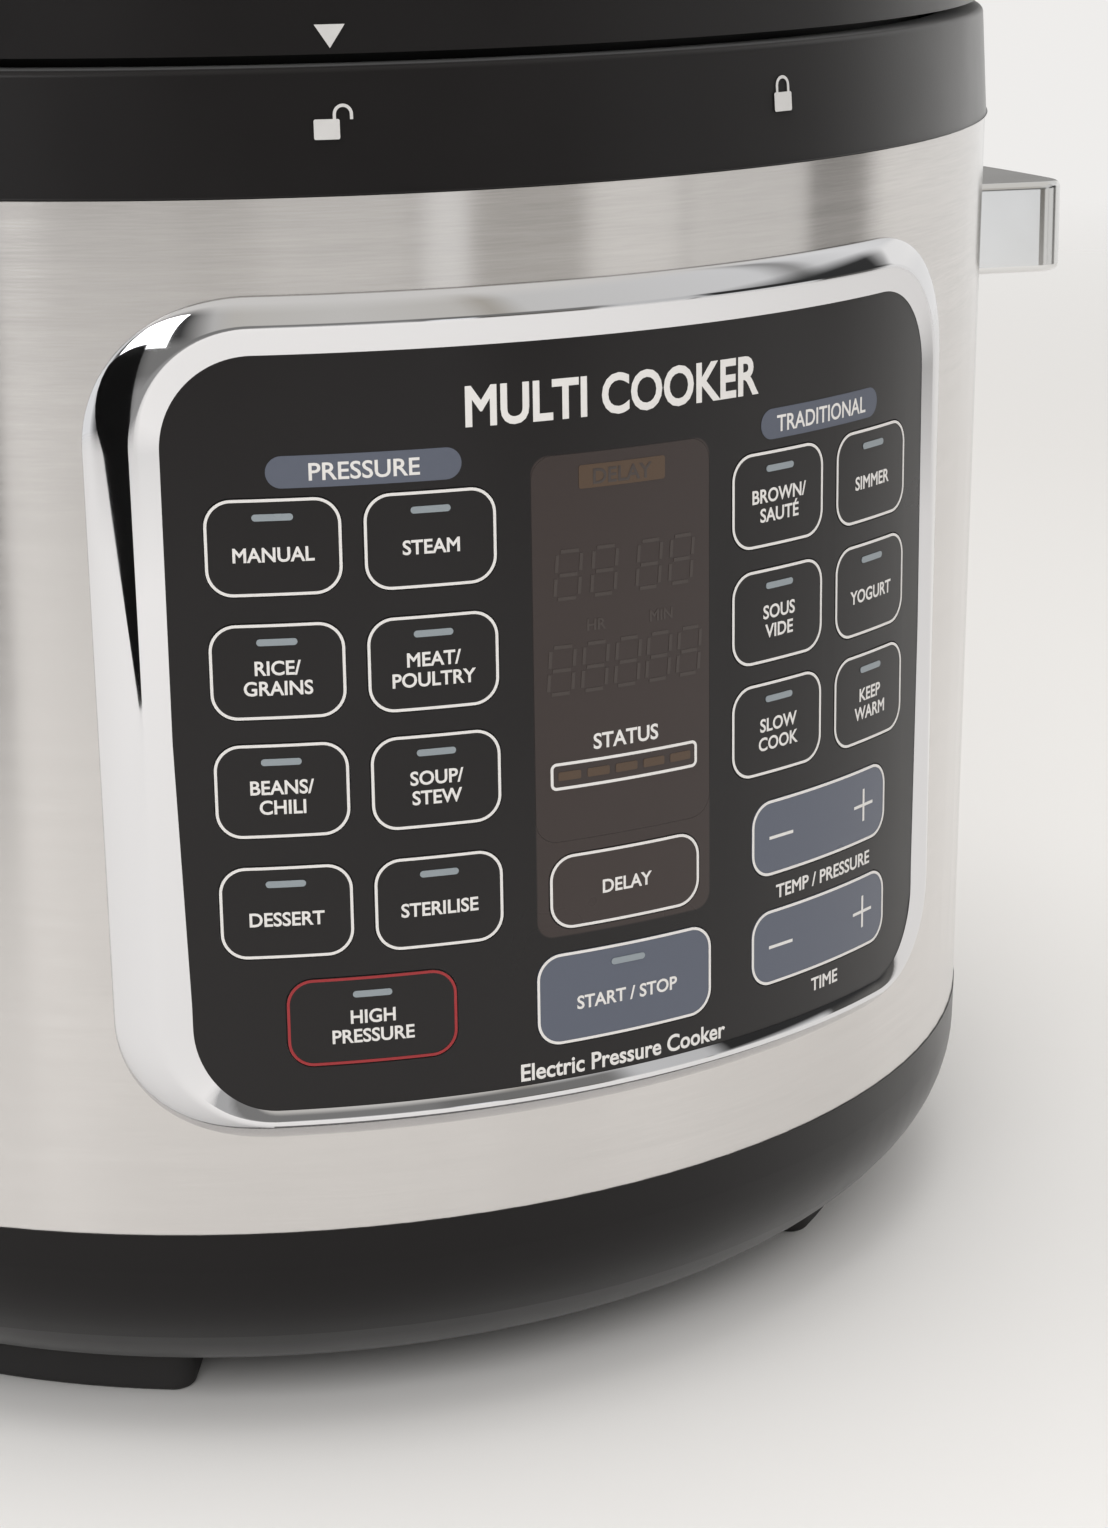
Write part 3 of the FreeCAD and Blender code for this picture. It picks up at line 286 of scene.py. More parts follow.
# ---- materials ----------------------------------------------------------------------------------
class NodeTree:
    """Short ways to add shader nodes to a tree."""

    def __init__(self, tree):
        self.tree = tree

    def node(self, kind, **settings):
        made = self.tree.nodes.new(kind)
        for key, value in settings.items():
            setattr(made, key, value)
        return made

    def link(self, source, target):
        self.tree.links.new(source, target)

    def place(self):
        return self.node("ShaderNodeTexCoord").outputs["Object"]

    def math(self, operation, a, b=None):
        made = self.node("ShaderNodeMath", operation=operation)
        for socket, value in zip(made.inputs, (a, b)):
            if isinstance(value, (int, float)):
                socket.default_value = value
            elif value is not None:
                self.link(value, socket)
        return made.outputs[0]

    def noise(self, scale, detail=3.0, vector=None, roughness=0.5):
        made = self.node("ShaderNodeTexNoise")
        made.inputs["Scale"].default_value = scale
        made.inputs["Detail"].default_value = detail
        made.inputs["Roughness"].default_value = roughness
        self.link(vector or self.place(), made.inputs["Vector"])
        return made.outputs["Fac"]

    def spread(self, value, low, high, start=0.3, stop=0.7):
        """Maps a value from start..stop to low..high."""
        made = self.node("ShaderNodeMapRange")
        for socket, number in zip(("From Min", "From Max", "To Min", "To Max"), (start, stop, low, high)):
            made.inputs[socket].default_value = number
        self.link(value, made.inputs["Value"])
        return made.outputs["Result"]

    def blend(self, factor, first, second):
        made = self.node("ShaderNodeMix", data_type="RGBA")
        self.link(factor, made.inputs["Factor"])
        for socket, colour in ((made.inputs["A"], first), (made.inputs["B"], second)):
            if isinstance(colour, tuple):
                socket.default_value = (*colour, 1.0)
            else:
                self.link(colour, socket)
        return made.outputs["Result"]

    def round_and_up(self, round_scale, up_scale):
        """Coordinates that run round the Z axis and up it, scaled apart."""
        xyz = self.node("ShaderNodeSeparateXYZ")
        self.link(self.place(), xyz.inputs[0])
        turn = self.math("ARCTAN2", xyz.outputs["X"], self.math("MULTIPLY", xyz.outputs["Y"], -1.0))
        both = self.node("ShaderNodeCombineXYZ")
        self.link(self.math("MULTIPLY", turn, round_scale), both.inputs["X"])
        self.link(self.math("MULTIPLY", xyz.outputs["Z"], up_scale), both.inputs["Y"])
        reach = self.node("ShaderNodeVectorMath", operation="LENGTH")
        flat = self.node("ShaderNodeCombineXYZ")
        self.link(xyz.outputs["X"], flat.inputs["X"])
        self.link(xyz.outputs["Y"], flat.inputs["Y"])
        self.link(flat.outputs[0], reach.inputs[0])
        self.link(self.math("MULTIPLY", reach.outputs["Value"], up_scale), both.inputs["Z"])
        return both.outputs[0]


class Finish(NodeTree):
    """A procedural material. Further shader sockets are given by name, with _ for each space."""

    def __init__(self, name, base, metallic=0.0, roughness=0.5, **sockets):
        self.material = bpy.data.materials.new(name)
        self.material.use_nodes = True
        super().__init__(self.material.node_tree)
        self.shader = self.tree.nodes["Principled BSDF"]
        self.shader.inputs["Base Color"].default_value = (*base, 1.0)
        self.shader.inputs["Metallic"].default_value = metallic
        self.shader.inputs["Roughness"].default_value = roughness
        for socket, value in sockets.items():
            self.shader.inputs[socket.replace("_", " ")].default_value = value

    def bump(self, height, strength, distance):
        made = self.node("ShaderNodeBump")
        made.inputs["Strength"].default_value = strength
        made.inputs["Distance"].default_value = distance
        self.link(height, made.inputs["Height"])
        self.link(made.outputs["Normal"], self.shader.inputs["Normal"])


def moulded(name, base, roughness=0.38, grain=0.12, shine=0.5, bloom=0.0):
    """Moulded plastic with a fine spark-eroded grain and faint flow variation."""
    f = Finish(name, base, roughness=roughness, Specular_IOR_Level=shine, Sheen_Weight=bloom,
               Sheen_Roughness=0.45)
    f.bump(f.noise(2600.0, 2.0), grain, 0.05 * MM)
    f.link(f.spread(f.noise(35.0, 4.0), roughness - 0.04, roughness + 0.05), f.shader.inputs["Roughness"])
    lighter = tuple(c * 1.18 + 0.0004 for c in base)
    f.link(f.blend(f.noise(18.0, 3.0), base, lighter), f.shader.inputs["Base Color"])
    return f.material


def brushed(name, base, roughness=0.22, lines=3600.0, depth=0.03, anisotropy=0.97):
    """Steel brushed in long level strokes round the Z axis, which blur what it reflects up and down."""
    f = Finish(name, base, metallic=1.0, roughness=roughness, Anisotropic=anisotropy,
               Anisotropic_Rotation=0.25)
    tangent = f.node("ShaderNodeTangent", direction_type="RADIAL", axis="Z")
    f.link(tangent.outputs["Tangent"], f.shader.inputs["Tangent"])
    fine = f.noise(1.0, 4.0, f.round_and_up(14.0, lines), 0.7)
    broad = f.noise(1.0, 2.0, f.round_and_up(3.0, lines / 9.0), 0.5)
    f.bump(fine, depth, 0.03 * MM)
    mixed = f.math("ADD", f.math("MULTIPLY", fine, 0.65), f.math("MULTIPLY", broad, 0.35))
    f.link(f.spread(mixed, roughness - 0.03, roughness + 0.03), f.shader.inputs["Roughness"])
    dark = tuple(c * 0.86 for c in base)
    f.link(f.blend(f.spread(mixed, 0.0, 1.0), dark, base), f.shader.inputs["Base Color"])
    return f.material


def plated(name, base=(0.75, 0.75, 0.765), roughness=0.035):
    """Bright chrome plate over a moulding, with a trace of orange peel."""
    f = Finish(name, base, metallic=1.0, roughness=roughness)
    f.bump(f.noise(130.0, 2.0), 0.012, 0.2 * MM)
    f.link(f.spread(f.noise(60.0, 4.0), roughness - 0.015, roughness + 0.025), f.shader.inputs["Roughness"])
    return f.material


def formed_steel(name, base=(0.66, 0.65, 0.64), roughness=0.32):
    f = Finish(name, base, metallic=1.0, roughness=roughness)
    f.bump(f.noise(900.0, 3.0), 0.05, 0.03 * MM)
    f.link(f.spread(f.noise(45.0, 5.0), roughness - 0.08, roughness + 0.08), f.shader.inputs["Roughness"])
    return f.material


def rubbery(name, base, roughness=0.7):
    f = Finish(name, base, roughness=roughness)
    f.bump(f.noise(1500.0, 3.0), 0.18, 0.06 * MM)
    f.link(f.blend(f.noise(60.0, 4.0), base, tuple(c * 1.4 for c in base)), f.shader.inputs["Base Color"])
    return f.material


def ink(name, base, roughness=0.5):
    """Screen-printed ink with a slightly uneven film."""
    f = Finish(name, base, roughness=roughness)
    f.bump(f.noise(4000.0, 2.0), 0.08, 0.02 * MM)
    f.link(f.blend(f.noise(700.0, 3.0), tuple(c * 0.93 for c in base), base), f.shader.inputs["Base Color"])
    return f.material


FACE_BLACK = (0.0036, 0.0024, 0.0026)
SMOKE = (0.036, 0.0255, 0.023)
SLATE = (0.090, 0.101, 0.134)


def film(name, base, smoked=None):
    """The panel's printed film: semi-gloss with a fine hard-coat texture. smoked is the display's
    see-through area as (middle, height of middle, width, height, corner)."""
    f = Finish(name, base, roughness=0.32, Specular_IOR_Level=0.36, Sheen_Weight=0.10, Sheen_Roughness=0.5)
    f.bump(f.noise(3000.0, 2.0), 0.05, 0.03 * MM)
    f.link(f.spread(f.noise(30.0, 3.0), 0.27, 0.34), f.shader.inputs["Roughness"])
    if smoked:
        s, z, width, height, corner = smoked
        xyz = f.node("ShaderNodeSeparateXYZ")
        f.link(f.place(), xyz.inputs[0])
        turn = f.math("ARCTAN2", xyz.outputs["X"], f.math("MULTIPLY", xyz.outputs["Y"], -1.0))
        across = f.math("ABSOLUTE", f.math("SUBTRACT", f.math("MULTIPLY", turn, PANEL_R), s))
        up = f.math("ABSOLUTE", f.math("SUBTRACT", xyz.outputs["Z"], z))
        dx = f.math("MAXIMUM", f.math("SUBTRACT", across, width / 2 - corner), 0.0)
        dz = f.math("MAXIMUM", f.math("SUBTRACT", up, height / 2 - corner), 0.0)
        reach = f.math("SQRT", f.math("ADD", f.math("MULTIPLY", dx, dx), f.math("MULTIPLY", dz, dz)))
        inside = f.spread(reach, 1.0, 0.0, corner - 0.15 * MM, corner + 0.15 * MM)
        cloudy = f.blend(f.noise(25.0, 2.0), tuple(c * 0.88 for c in SMOKE), SMOKE)
        f.link(f.blend(inside, base, cloudy), f.shader.inputs["Base Color"])
    return f.material


def clear_plastic(name):
    f = Finish(name, (0.93, 0.95, 0.96), roughness=0.08, IOR=1.49)
    f.shader.inputs["Transmission Weight"].default_value = 0.9
    f.bump(f.noise(90.0, 2.0), 0.03, 0.2 * MM)
    f.link(f.spread(f.noise(50.0, 3.0), 0.05, 0.14), f.shader.inputs["Roughness"])
    return f.material


def circuit(name):
    f = Finish(name, (0.015, 0.12, 0.05), roughness=0.35)
    mottled = f.blend(f.noise(600.0, 2.0), (0.012, 0.09, 0.04), (0.03, 0.2, 0.09))
    f.link(mottled, f.shader.inputs["Base Color"])
    f.bump(f.noise(1200.0, 2.0), 0.1, 0.05 * MM)
    return f.material


def non_stick(name):
    """Dark coating flecked with mineral specks."""
    f = Finish(name, (0.022, 0.022, 0.023), roughness=0.33)
    specks = f.spread(f.noise(1500.0, 1.0), 0.0, 1.0, 0.66, 0.72)
    f.link(f.blend(specks, (0.02, 0.02, 0.021), (0.16, 0.16, 0.16)), f.shader.inputs["Base Color"])
    f.bump(f.noise(500.0, 3.0), 0.08, 0.05 * MM)
    return f.material


BLACK = (0.0026, 0.0018, 0.0019)
black_plastic = moulded("black_plastic", BLACK, 0.38, shine=0.29, bloom=0.27)
base_plastic = moulded("base_plastic", BLACK, 0.38, shine=0.24, bloom=0.14)
dial_plastic = moulded("dial_plastic", (0.010, 0.009, 0.009), 0.45, shine=0.3)
grey_plastic = moulded("grey_plastic", (0.20, 0.20, 0.20), 0.5)
foot_rubber = rubbery("foot_rubber", (0.013, 0.012, 0.012))
silicone = rubbery("silicone", (0.50, 0.48, 0.44), 0.5)
lead_rubber = rubbery("lead_rubber", (0.30, 0.02, 0.015), 0.5)
band_steel = brushed("band_steel", (0.735, 0.713, 0.696))
lid_steel = brushed("lid_steel", (0.74, 0.73, 0.72), 0.33, 2600.0, 0.03, 0.6)
plain_steel = formed_steel("plain_steel")
cast_metal = formed_steel("cast_metal", (0.60, 0.60, 0.60), 0.5)
chrome = plated("chrome")
handle_chrome = plated("handle_chrome", (0.74, 0.74, 0.735), 0.13)
see_through = clear_plastic("clear_plastic")
boards = circuit("boards")
pot_coating = non_stick("pot_coating")
membrane_film = moulded("membrane_film", (0.45, 0.38, 0.20), 0.4)
slate_film = film("slate_film", SLATE)
white_ink = ink("white_ink", (0.72, 0.70, 0.68))
collar_ink = ink("collar_ink", (0.57, 0.56, 0.55), 0.6)
red_ink = ink("red_ink", (0.30, 0.018, 0.022))
slate_ink = ink("slate_ink", SLATE)
lamp_plastic = moulded("lamp_plastic", (0.22, 0.25, 0.27), 0.3, 0.05)
ghost_ink = ink("ghost_ink", (0.048, 0.037, 0.033), 0.32)
amber_ink = ink("amber_ink", (0.105, 0.070, 0.030), 0.35)
amber_faint = ink("amber_faint", (0.074, 0.044, 0.025), 0.35)

window_s, window_z, window_w, window_h = face_of("display_window")
delay_s, delay_z, delay_w, delay_h = face_of("key_delay")
smoke_top = window_z + window_h / 2
smoke_low = delay_z - delay_h / 2 - 1.2 * MM
panel_film = film("panel_film", FACE_BLACK, smoked=(
    window_s, (smoke_top + smoke_low) / 2, window_w, smoke_top - smoke_low, 3.0 * MM))

SLOT_FINISH = {
    "black_plastic": black_plastic, "feet": foot_rubber, "band_steel": band_steel,
    "plain_steel": plain_steel, "chrome": chrome, "panel_face": panel_film, "slate_key": slate_film,
    "window": panel_film, "moulded_parts": grey_plastic, "circuit_board": boards,
    "membrane": membrane_film, "cast_aluminium": cast_metal, "pot_coating": pot_coating,
    "silicone": silicone, "lead_sleeve": lead_rubber, "clear_plastic": see_through,
}
NODE_FINISH = {"base_shell": base_plastic, "inner_lid": lid_steel, "steam_dial": dial_plastic,
               "handle_left": handle_chrome, "handle_right": handle_chrome}


def dress_nodes():
    """Gives every CAD node its procedural finish."""
    for part in frame["record"]["subparts"]:
        node = NODES[part["node"]]
        finish = NODE_FINISH.get(part["node"], SLOT_FINISH[part["material_slot"]])
        node.data.materials.clear()
        node.data.materials.append(finish)
        smooth(node.data, 30.0)
        node.cycles.shadow_terminator_offset = 0.35


dress_nodes()


# ---- the collar ---------------------------------------------------------------------------------
COLLAR_Z = (215.15, 234.8)      # in millimetres, as is the profile below
COLLAR_R = (145.5, 143.95)      # its outside at those heights


def collar():
    """The moulded ring under the lid, turned finely enough for its rounded rim to shade evenly."""
    low, top = COLLAR_Z
    profile = [
        (COLLAR_R[0], low, 0.25), (COLLAR_R[1], top, 1.1), (136.2, top, 0.7), (136.2, 222.0, 0.2),
        (138.6, 222.0, 0.2), (138.6, top - 2.4, 0.0), (141.3, top - 2.4, 0.0), (142.6, 219.0, 0.0),
        (141.4, 216.0, 0.0), (141.4, 209.0, 0.0), (143.6, 209.0, 0.0), (143.9, low, 0.0),
    ]
    lathe("collar_ring", [(r * MM, z * MM, c * MM) for r, z, c in profile], black_plastic,
          "base", ["upper_collar"])


collar()


# ---- the spring under the pot's probe -----------------------------------------------------------
SPRING_WIRE = 0.6 * MM      # radius of its wire
SPRING_TURNS = 4


def probe_spring():
    """Coil spring under the pot's probe, built at one length; on the cooker it closes up as the pot pushes
    the probe down.
    """
    coil = NODES["sensor_spring"].data.vertices
    low, high = min(v.co.z for v in coil), max(v.co.z for v in coil)
    mean = max(radius_of(v) for v in coil) - SPRING_WIRE
    steps, sides = 48 * SPRING_TURNS, 12
    verts = []
    for i in range(steps + 1):
        a = 2 * math.pi * SPRING_TURNS * i / steps
        z = low + SPRING_WIRE + (high - low - 2 * SPRING_WIRE) * i / steps
        for k in range(sides):
            b = 2 * math.pi * k / sides
            r = mean + SPRING_WIRE * math.cos(b)
            verts.append((r * math.cos(a), r * math.sin(a), z + SPRING_WIRE * math.sin(b)))
    ends = [tuple(range(sides)), tuple(range(steps * sides, (steps + 1) * sides))]
    faces = ends + skin(steps + 1, sides, False)
    spring = piece("probe_spring", verts, faces, plain_steel, "base", ["sensor_spring"])
    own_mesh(spring)


probe_spring()


# ---- the bezel ----------------------------------------------------------------------------------
BEVEL_SHARES = {"side": 0.28, "top": 0.45, "foot": 0.34}    # of the frame's width, inside its crest
BEVEL_TILT = 11.0           # degrees that the inner bevel falls towards the panel
CREST = 0.45 * MM           # half the width over which the crest is rounded
SHADOW_GAP = 0.5 * MM       # the frame's outer edge stops this far short of the band
PANEL_CORNER = 15.0 * MM
BAND_Z = (45.0 * MM, 212.0 * MM)
BAND_R = (142.2 * MM, 144.6 * MM)   # radius of the steel band at those heights
SEAT_IN = 0.15 * MM         # how far the frame's outer edge is reckoned from inside the band
LIP_LIFT = 0.15 * MM        # how far its inner edge stands off the panel face
EDGE_STEP = 0.9 * MM
CORNER_TURNS = 28           # steps round each of its corners
CREST_STEPS, SHOULDER_STEPS = 4, 16
TUCK_FROM, TUCK_OVER = 128.0 * MM, 45.0 * MM    # the tuck starts at this height and is full this much lower
TUCK = 1.2 * MM             # how far the frame's lower inner edge closes in over the face


def band_radius(z):
    """The steel band's outside, which the frame sits on."""
    share = (z - BAND_Z[0]) / (BAND_Z[1] - BAND_Z[0])
    return BAND_R[0] + (BAND_R[1] - BAND_R[0]) * share


def bezel():
    """Chromed frame: a flat inner bevel, a crisp crest and a full outer shoulder."""
    panel = NODES["panel_overlay"].data.vertices
    half_w = max(along(v.co.x, v.co.y) for v in panel)
    low, high = (f(v.co.z for v in panel) for f in (min, max))
    frame_box = NODES["panel_bezel"].data.vertices
    side = max(along(v.co.x, v.co.y) for v in frame_box) - half_w
    top = max(v.co.z for v in frame_box) - high
    foot = low - min(v.co.z for v in frame_box)
    crest = max(radius_of(v) for v in frame_box)
    lip = PANEL_R + LIP_LIFT
    points = outline_points(0.0, (low + high) / 2, 2 * half_w, high - low, PANEL_CORNER, EDGE_STEP,
                            CORNER_TURNS)
    verts = []
    for (s, z), (nx, nz) in points:
        upright, across = nx * nx, nz * nz
        width = side * upright + (top if nz > 0 else foot) * across
        share = BEVEL_SHARES["side"] * upright + BEVEL_SHARES["top" if nz > 0 else "foot"] * across
        tuck = TUCK * nx * min(1.0, max(0.0, (TUCK_FROM - z) / TUCK_OVER))
        seat = band_radius(z + nz * width) - SEAT_IN
        profile = [(-tuck, 0.0, PANEL_R - 0.3 * MM), (-tuck, 0.0, lip)]
        over, slope = CREST / width, CREST * math.tan(math.radians(BEVEL_TILT))
        for k in range(CREST_STEPS + 1):
            t = k / CREST_STEPS
            profile.append((0.0, share + over * (2 * t - 1), crest - slope * (1 - t) ** 2))
        for k in range(1, SHOULDER_STEPS + 1):
            u = math.sin(math.pi / 2 * k / SHOULDER_STEPS)
            fall = 0.65 * u + 0.35 * (1 - math.sqrt(1 - u * u))
            across_at = share + over + (1 - share - over) * u
            profile.append((0.0, across_at, crest - (crest - seat - SHADOW_GAP) * fall))
        profile.append((0.0, 0.94, seat + 0.6 * SHADOW_GAP))
        profile.append((0.0, 0.6, seat - 1.0 * MM))
        for shift, at, radius in profile:
            verts.append(at_radius(s + shift + nx * width * at, z + nz * width * at, radius))
    faces = skin(len(points), len(verts) // len(points), True)
    piece("bezel_frame", verts, faces, chrome, "base", ["panel_bezel"], sharp=40.0)


bezel()


# ---- lettering and lamps ------------------------------------------------------------------------
LINE = 0.48 * MM            # width of the outline round a key
KEY_CAP = 2.4 * MM          # height of the capitals on the keys
NARROW = 0.98               # the lettering is a little condensed
BOLD = 0.028                # added all round each stroke, as a share of the capitals' height
LAMP = (6.6 * MM, 1.12 * MM)
LAMP_DROP = 3.0 * MM        # lamp's middle below the key's top edge
KEY_CORNER = 4.4 * MM
LINE_PITCH = 3.35 * MM      # from one line of a key's words to the next
SIGN_AT = 0.31              # place of a rocker's signs, as a share of its width from its middle
LEGENDS = {
    "manual": ["MANUAL"], "steam": ["STEAM"], "rice": ["RICE/", "GRAINS"], "meat": ["MEAT/", "POULTRY"],
    "beans": ["BEANS/", "CHILI"], "soup": ["SOUP/", "STEW"], "dessert": ["DESSERT"],
    "sterilise": ["STERILISE"], "saute": ["BROWN/", "SAUTÉ"], "simmer": ["SIMMER"],
    "sous_vide": ["SOUS", "VIDE"], "yogurt": ["YOGURT"], "slow_cook": ["SLOW", "COOK"],
    "keep_warm": ["KEEP", "WARM"], "rapid": ["HIGH", "PRESSURE"], "delay": ["DELAY"],
    "start_stop": ["START / STOP"],
}


def letter(text, s, z, cap, stretch=NARROW, radius=panel_radius, bold=BOLD, fit=None):
    return text_mesh(text, s, z, cap, stretch, radius, bold * cap, fit)


def key_legends():
    """Outline, words and lamp on each push key, moving with the key."""
    for name, lines in LEGENDS.items():
        body = f"key_{name}"
        s, z, width, height = face_of(body)
        edge = ladder_mesh([outline(s, z, width, height, KEY_CORNER, LINE)], panel_radius)
        has_lamp = name != "delay"
        middle = z - (1.1 * MM if has_lamp and len(lines) == 1 else 1.0 * MM * (len(lines) > 1))
        words = [letter(text, s, middle + LINE_PITCH * ((len(lines) - 1) / 2 - i), KEY_CAP)
                 for i, text in enumerate(lines)]
        if name == "rapid":
            printed(f"outline_{name}", [edge], red_ink, body)
            printed(f"legend_{name}", words, white_ink, body)
        else:
            printed(f"legend_{name}", [edge, *words], white_ink, body)
        if has_lamp:
            bar = filled(s, z + height / 2 - LAMP_DROP, *LAMP, LAMP[1] / 2)
            lamp = ladder_mesh([bar], panel_radius, thick=0.12 * MM)
            printed(f"lamp_{name}", [lamp], lamp_plastic, body)


def rocker_legends():
    """Minus and plus signs on the two rocker keys."""
    for name in ("pressure", "time"):
        body = f"rocker_{name}"
        s, z, width, height = face_of(body)
        reach, line = 3.0 * MM, 0.55 * MM
        minus_s, plus_s = s - width * SIGN_AT, s + width * SIGN_AT
        minus = stroke([(minus_s - reach, z), (minus_s + reach, z)], line)
        across = stroke([(plus_s - reach, z), (plus_s + reach, z)], line)
        up = stroke([(plus_s, z - reach), (plus_s, z + reach)], line)
        edge = outline(s, z, width, height, KEY_CORNER, 0.5 * MM)
        signs = ladder_mesh([edge, minus, across, up], panel_radius)
        printed(f"legend_rocker_{name}", [signs], white_ink, body)


DIGIT = (4.4 * MM, 7.9 * MM)    # width and height of a display digit
BAR = 0.62 * MM             # width of one of its bars
BAR_GAP = 0.55 * MM         # how far each end of a bar stops short of the cell's corner
SLANT = 0.3 * MM            # lean over half the digit's height
SEGMENTS = [  # the seven bars of a digit, as ends on a 1 by 2 cell
    ((0, 2), (1, 2)), ((0, 1), (1, 1)), ((0, 0), (1, 0)),
    ((0, 1), (0, 2)), ((1, 1), (1, 2)), ((0, 0), (0, 1)), ((1, 0), (1, 1)),
]


def ghost_digit(s, z, width, height):
    """The unlit bars of a seven-bar digit, slightly slanted."""
    bars = []
    for (ax, ay), (bx, by) in SEGMENTS:
        a = Vector((s + (ax - 0.5) * width + ay * SLANT, z + (ay - 1) * height / 2))
        b = Vector((s + (bx - 0.5) * width + by * SLANT, z + (by - 1) * height / 2))
        short = (b - a).normalized() * BAR_GAP
        bars.append(stroke([tuple(a + short), tuple(b - short)], BAR))
    return bars


def display():
    """What shows faintly behind the smoked window, and the status line printed on it."""
    top = smoke_top
    bars = []
    for s in (-10.9, -4.2, 4.4, 10.9):
        bars += ghost_digit(s * MM, top - 20.0 * MM, *DIGIT)
    for s in (-12.3, -6.1, 0.1, 6.2, 12.4):
        bars += ghost_digit(s * MM, top - 36.0 * MM, *DIGIT)
    words = [letter(text, s * MM, top - 28.8 * MM, 2.0 * MM) for text, s in (("HR", -5.5), ("MIN", 7.0))]
    printed("display_ghosts", [ladder_mesh(bars, panel_radius), *words], ghost_ink, "base")
    tag_s, tag_z = -0.3 * MM, top - 4.0 * MM
    tag = filled(tag_s, tag_z, 16.4 * MM, 3.9 * MM, 0.5 * MM)
    printed("display_tag", [ladder_mesh([tag], panel_radius)], amber_faint, "base")
    tag_text = letter("DELAY", tag_s, tag_z, 2.6 * MM, 1.05)
    printed("display_tag_text", [raised(tag_text)], ghost_ink, "base")
    status_z = 117.7 * MM
    edge = outline(0.0, status_z, 28.6 * MM, 4.7 * MM, 1.1 * MM, 0.5 * MM)
    word = letter("STATUS", 0.0, status_z + 5.3 * MM, 2.7 * MM)
    printed("status_line", [ladder_mesh([edge], panel_radius), word], white_ink, "base")
    lit = [filled((i - 2) * 5.4 * MM, status_z, 4.2 * MM, 1.5 * MM, 0.3 * MM) for i in range(5)]
    printed("status_bars", [ladder_mesh(lit, panel_radius)], amber_faint, "base")


def panel_lettering():
    """Headings and captions on the front plate."""
    left = (face_of("key_manual")[0] + face_of("key_steam")[0]) / 2
    right = (face_of("key_saute")[0] + face_of("key_simmer")[0]) / 2
    heading_z = 172.1 * MM
    headings = (("PRESSURE", left + 2.2 * MM, 17.9 * MM), ("TRADITIONAL", right - 1.8 * MM, 24.2 * MM))
    pills = [filled(s, heading_z, 31.7 * MM, 5.2 * MM, 2.6 * MM) for _, s, _ in headings]
    printed("heading_pills", [ladder_mesh(pills, panel_radius)], slate_ink, "base")
    words = [raised(letter(text, s, heading_z, 2.9 * MM, fit=fit, bold=0.018)) for text, s, fit in headings]
    printed("heading_words", words, white_ink, "base")
    rocker_s = face_of("rocker_time")[0]
    captions = [
        letter("TEMP / PRESSURE", rocker_s + 0.4 * MM, 88.9 * MM, 2.5 * MM, fit=27.0 * MM),
        letter("TIME", rocker_s + 0.2 * MM, 69.0 * MM, 2.5 * MM, fit=7.6 * MM),
        letter("Electric Pressure Cooker", 0.0, 66.4 * MM, 3.1 * MM, fit=41.0 * MM),
        letter("MULTI COOKER", 0.0, 181.2 * MM, 6.6 * MM, fit=56.0 * MM, bold=0.035),
    ]
    printed("panel_captions", captions, white_ink, "base")


COLLAR_PRINT_DROP = 1.4     # how much the collar's face, as printed on, narrows on its way up, in mm


def collar_radius(z):
    share = (z / MM - COLLAR_Z[0]) / (COLLAR_Z[1] - COLLAR_Z[0])
    return (COLLAR_R[0] - COLLAR_PRINT_DROP * share) * MM


LOCKED_AZ, OPEN_AZ = math.radians(13.7), math.radians(-18.7)


def padlock(azimuth, closed):
    """A plain padlock mark as ladders."""
    s, z = azimuth * PANEL_R, 225.3 * MM
    body = filled(s - (0.0 if closed else 1.1 * MM), z, 4.1 * MM, 3.1 * MM, 0.3 * MM)
    foot = z + 1.5 * MM
    reach, line = 1.35 * MM, 0.5 * MM
    middle = s if closed else s + 1.5 * MM
    arch = foot + (1.15 if closed else 0.75) * MM
    bow = [(middle - reach * math.cos(math.pi * k / 12), arch + reach * math.sin(math.pi * k / 12))
           for k in range(13)]
    left = [(middle - reach, foot - 0.2 * MM)]
    right = [(middle + reach, foot - 0.2 * MM if closed else arch - 0.8 * MM)]
    return [body, stroke(left + bow + right, line)]


def collar_marks():
    """Open and closed padlocks on the collar, and the arrow on the lid that points to them."""
    marks = padlock(OPEN_AZ, False) + padlock(LOCKED_AZ, True)
    printed("lock_marks", [ladder_mesh(marks, collar_radius)], collar_ink, "base")
    s, top, tip, half = OPEN_AZ * PANEL_R, 241.1 * MM, 237.5 * MM, 2.45 * MM
    skirt = max(radius_of(v) for v in NODES["lid_cover"].data.vertices)
    rungs = []
    for k in range(-6, 7):
        x = half * k / 6
        rungs.append(((s + x, tip + (top - 0.01 * MM - tip) * abs(k) / 6), (s + x, top)))
    printed("lid_arrow", [ladder_mesh([(rungs, False)], lambda _: skirt)], collar_ink, "lid")


key_legends()
rocker_legends()
display()
panel_lettering()
collar_marks()


# ---- stage, lights and camera -------------------------------------------------------------------
FLOOR_FADE = (0.8, 1.7)     # distances from the object between which the floor fades out
BACKDROP = (0.862, 0.848, 0.832)


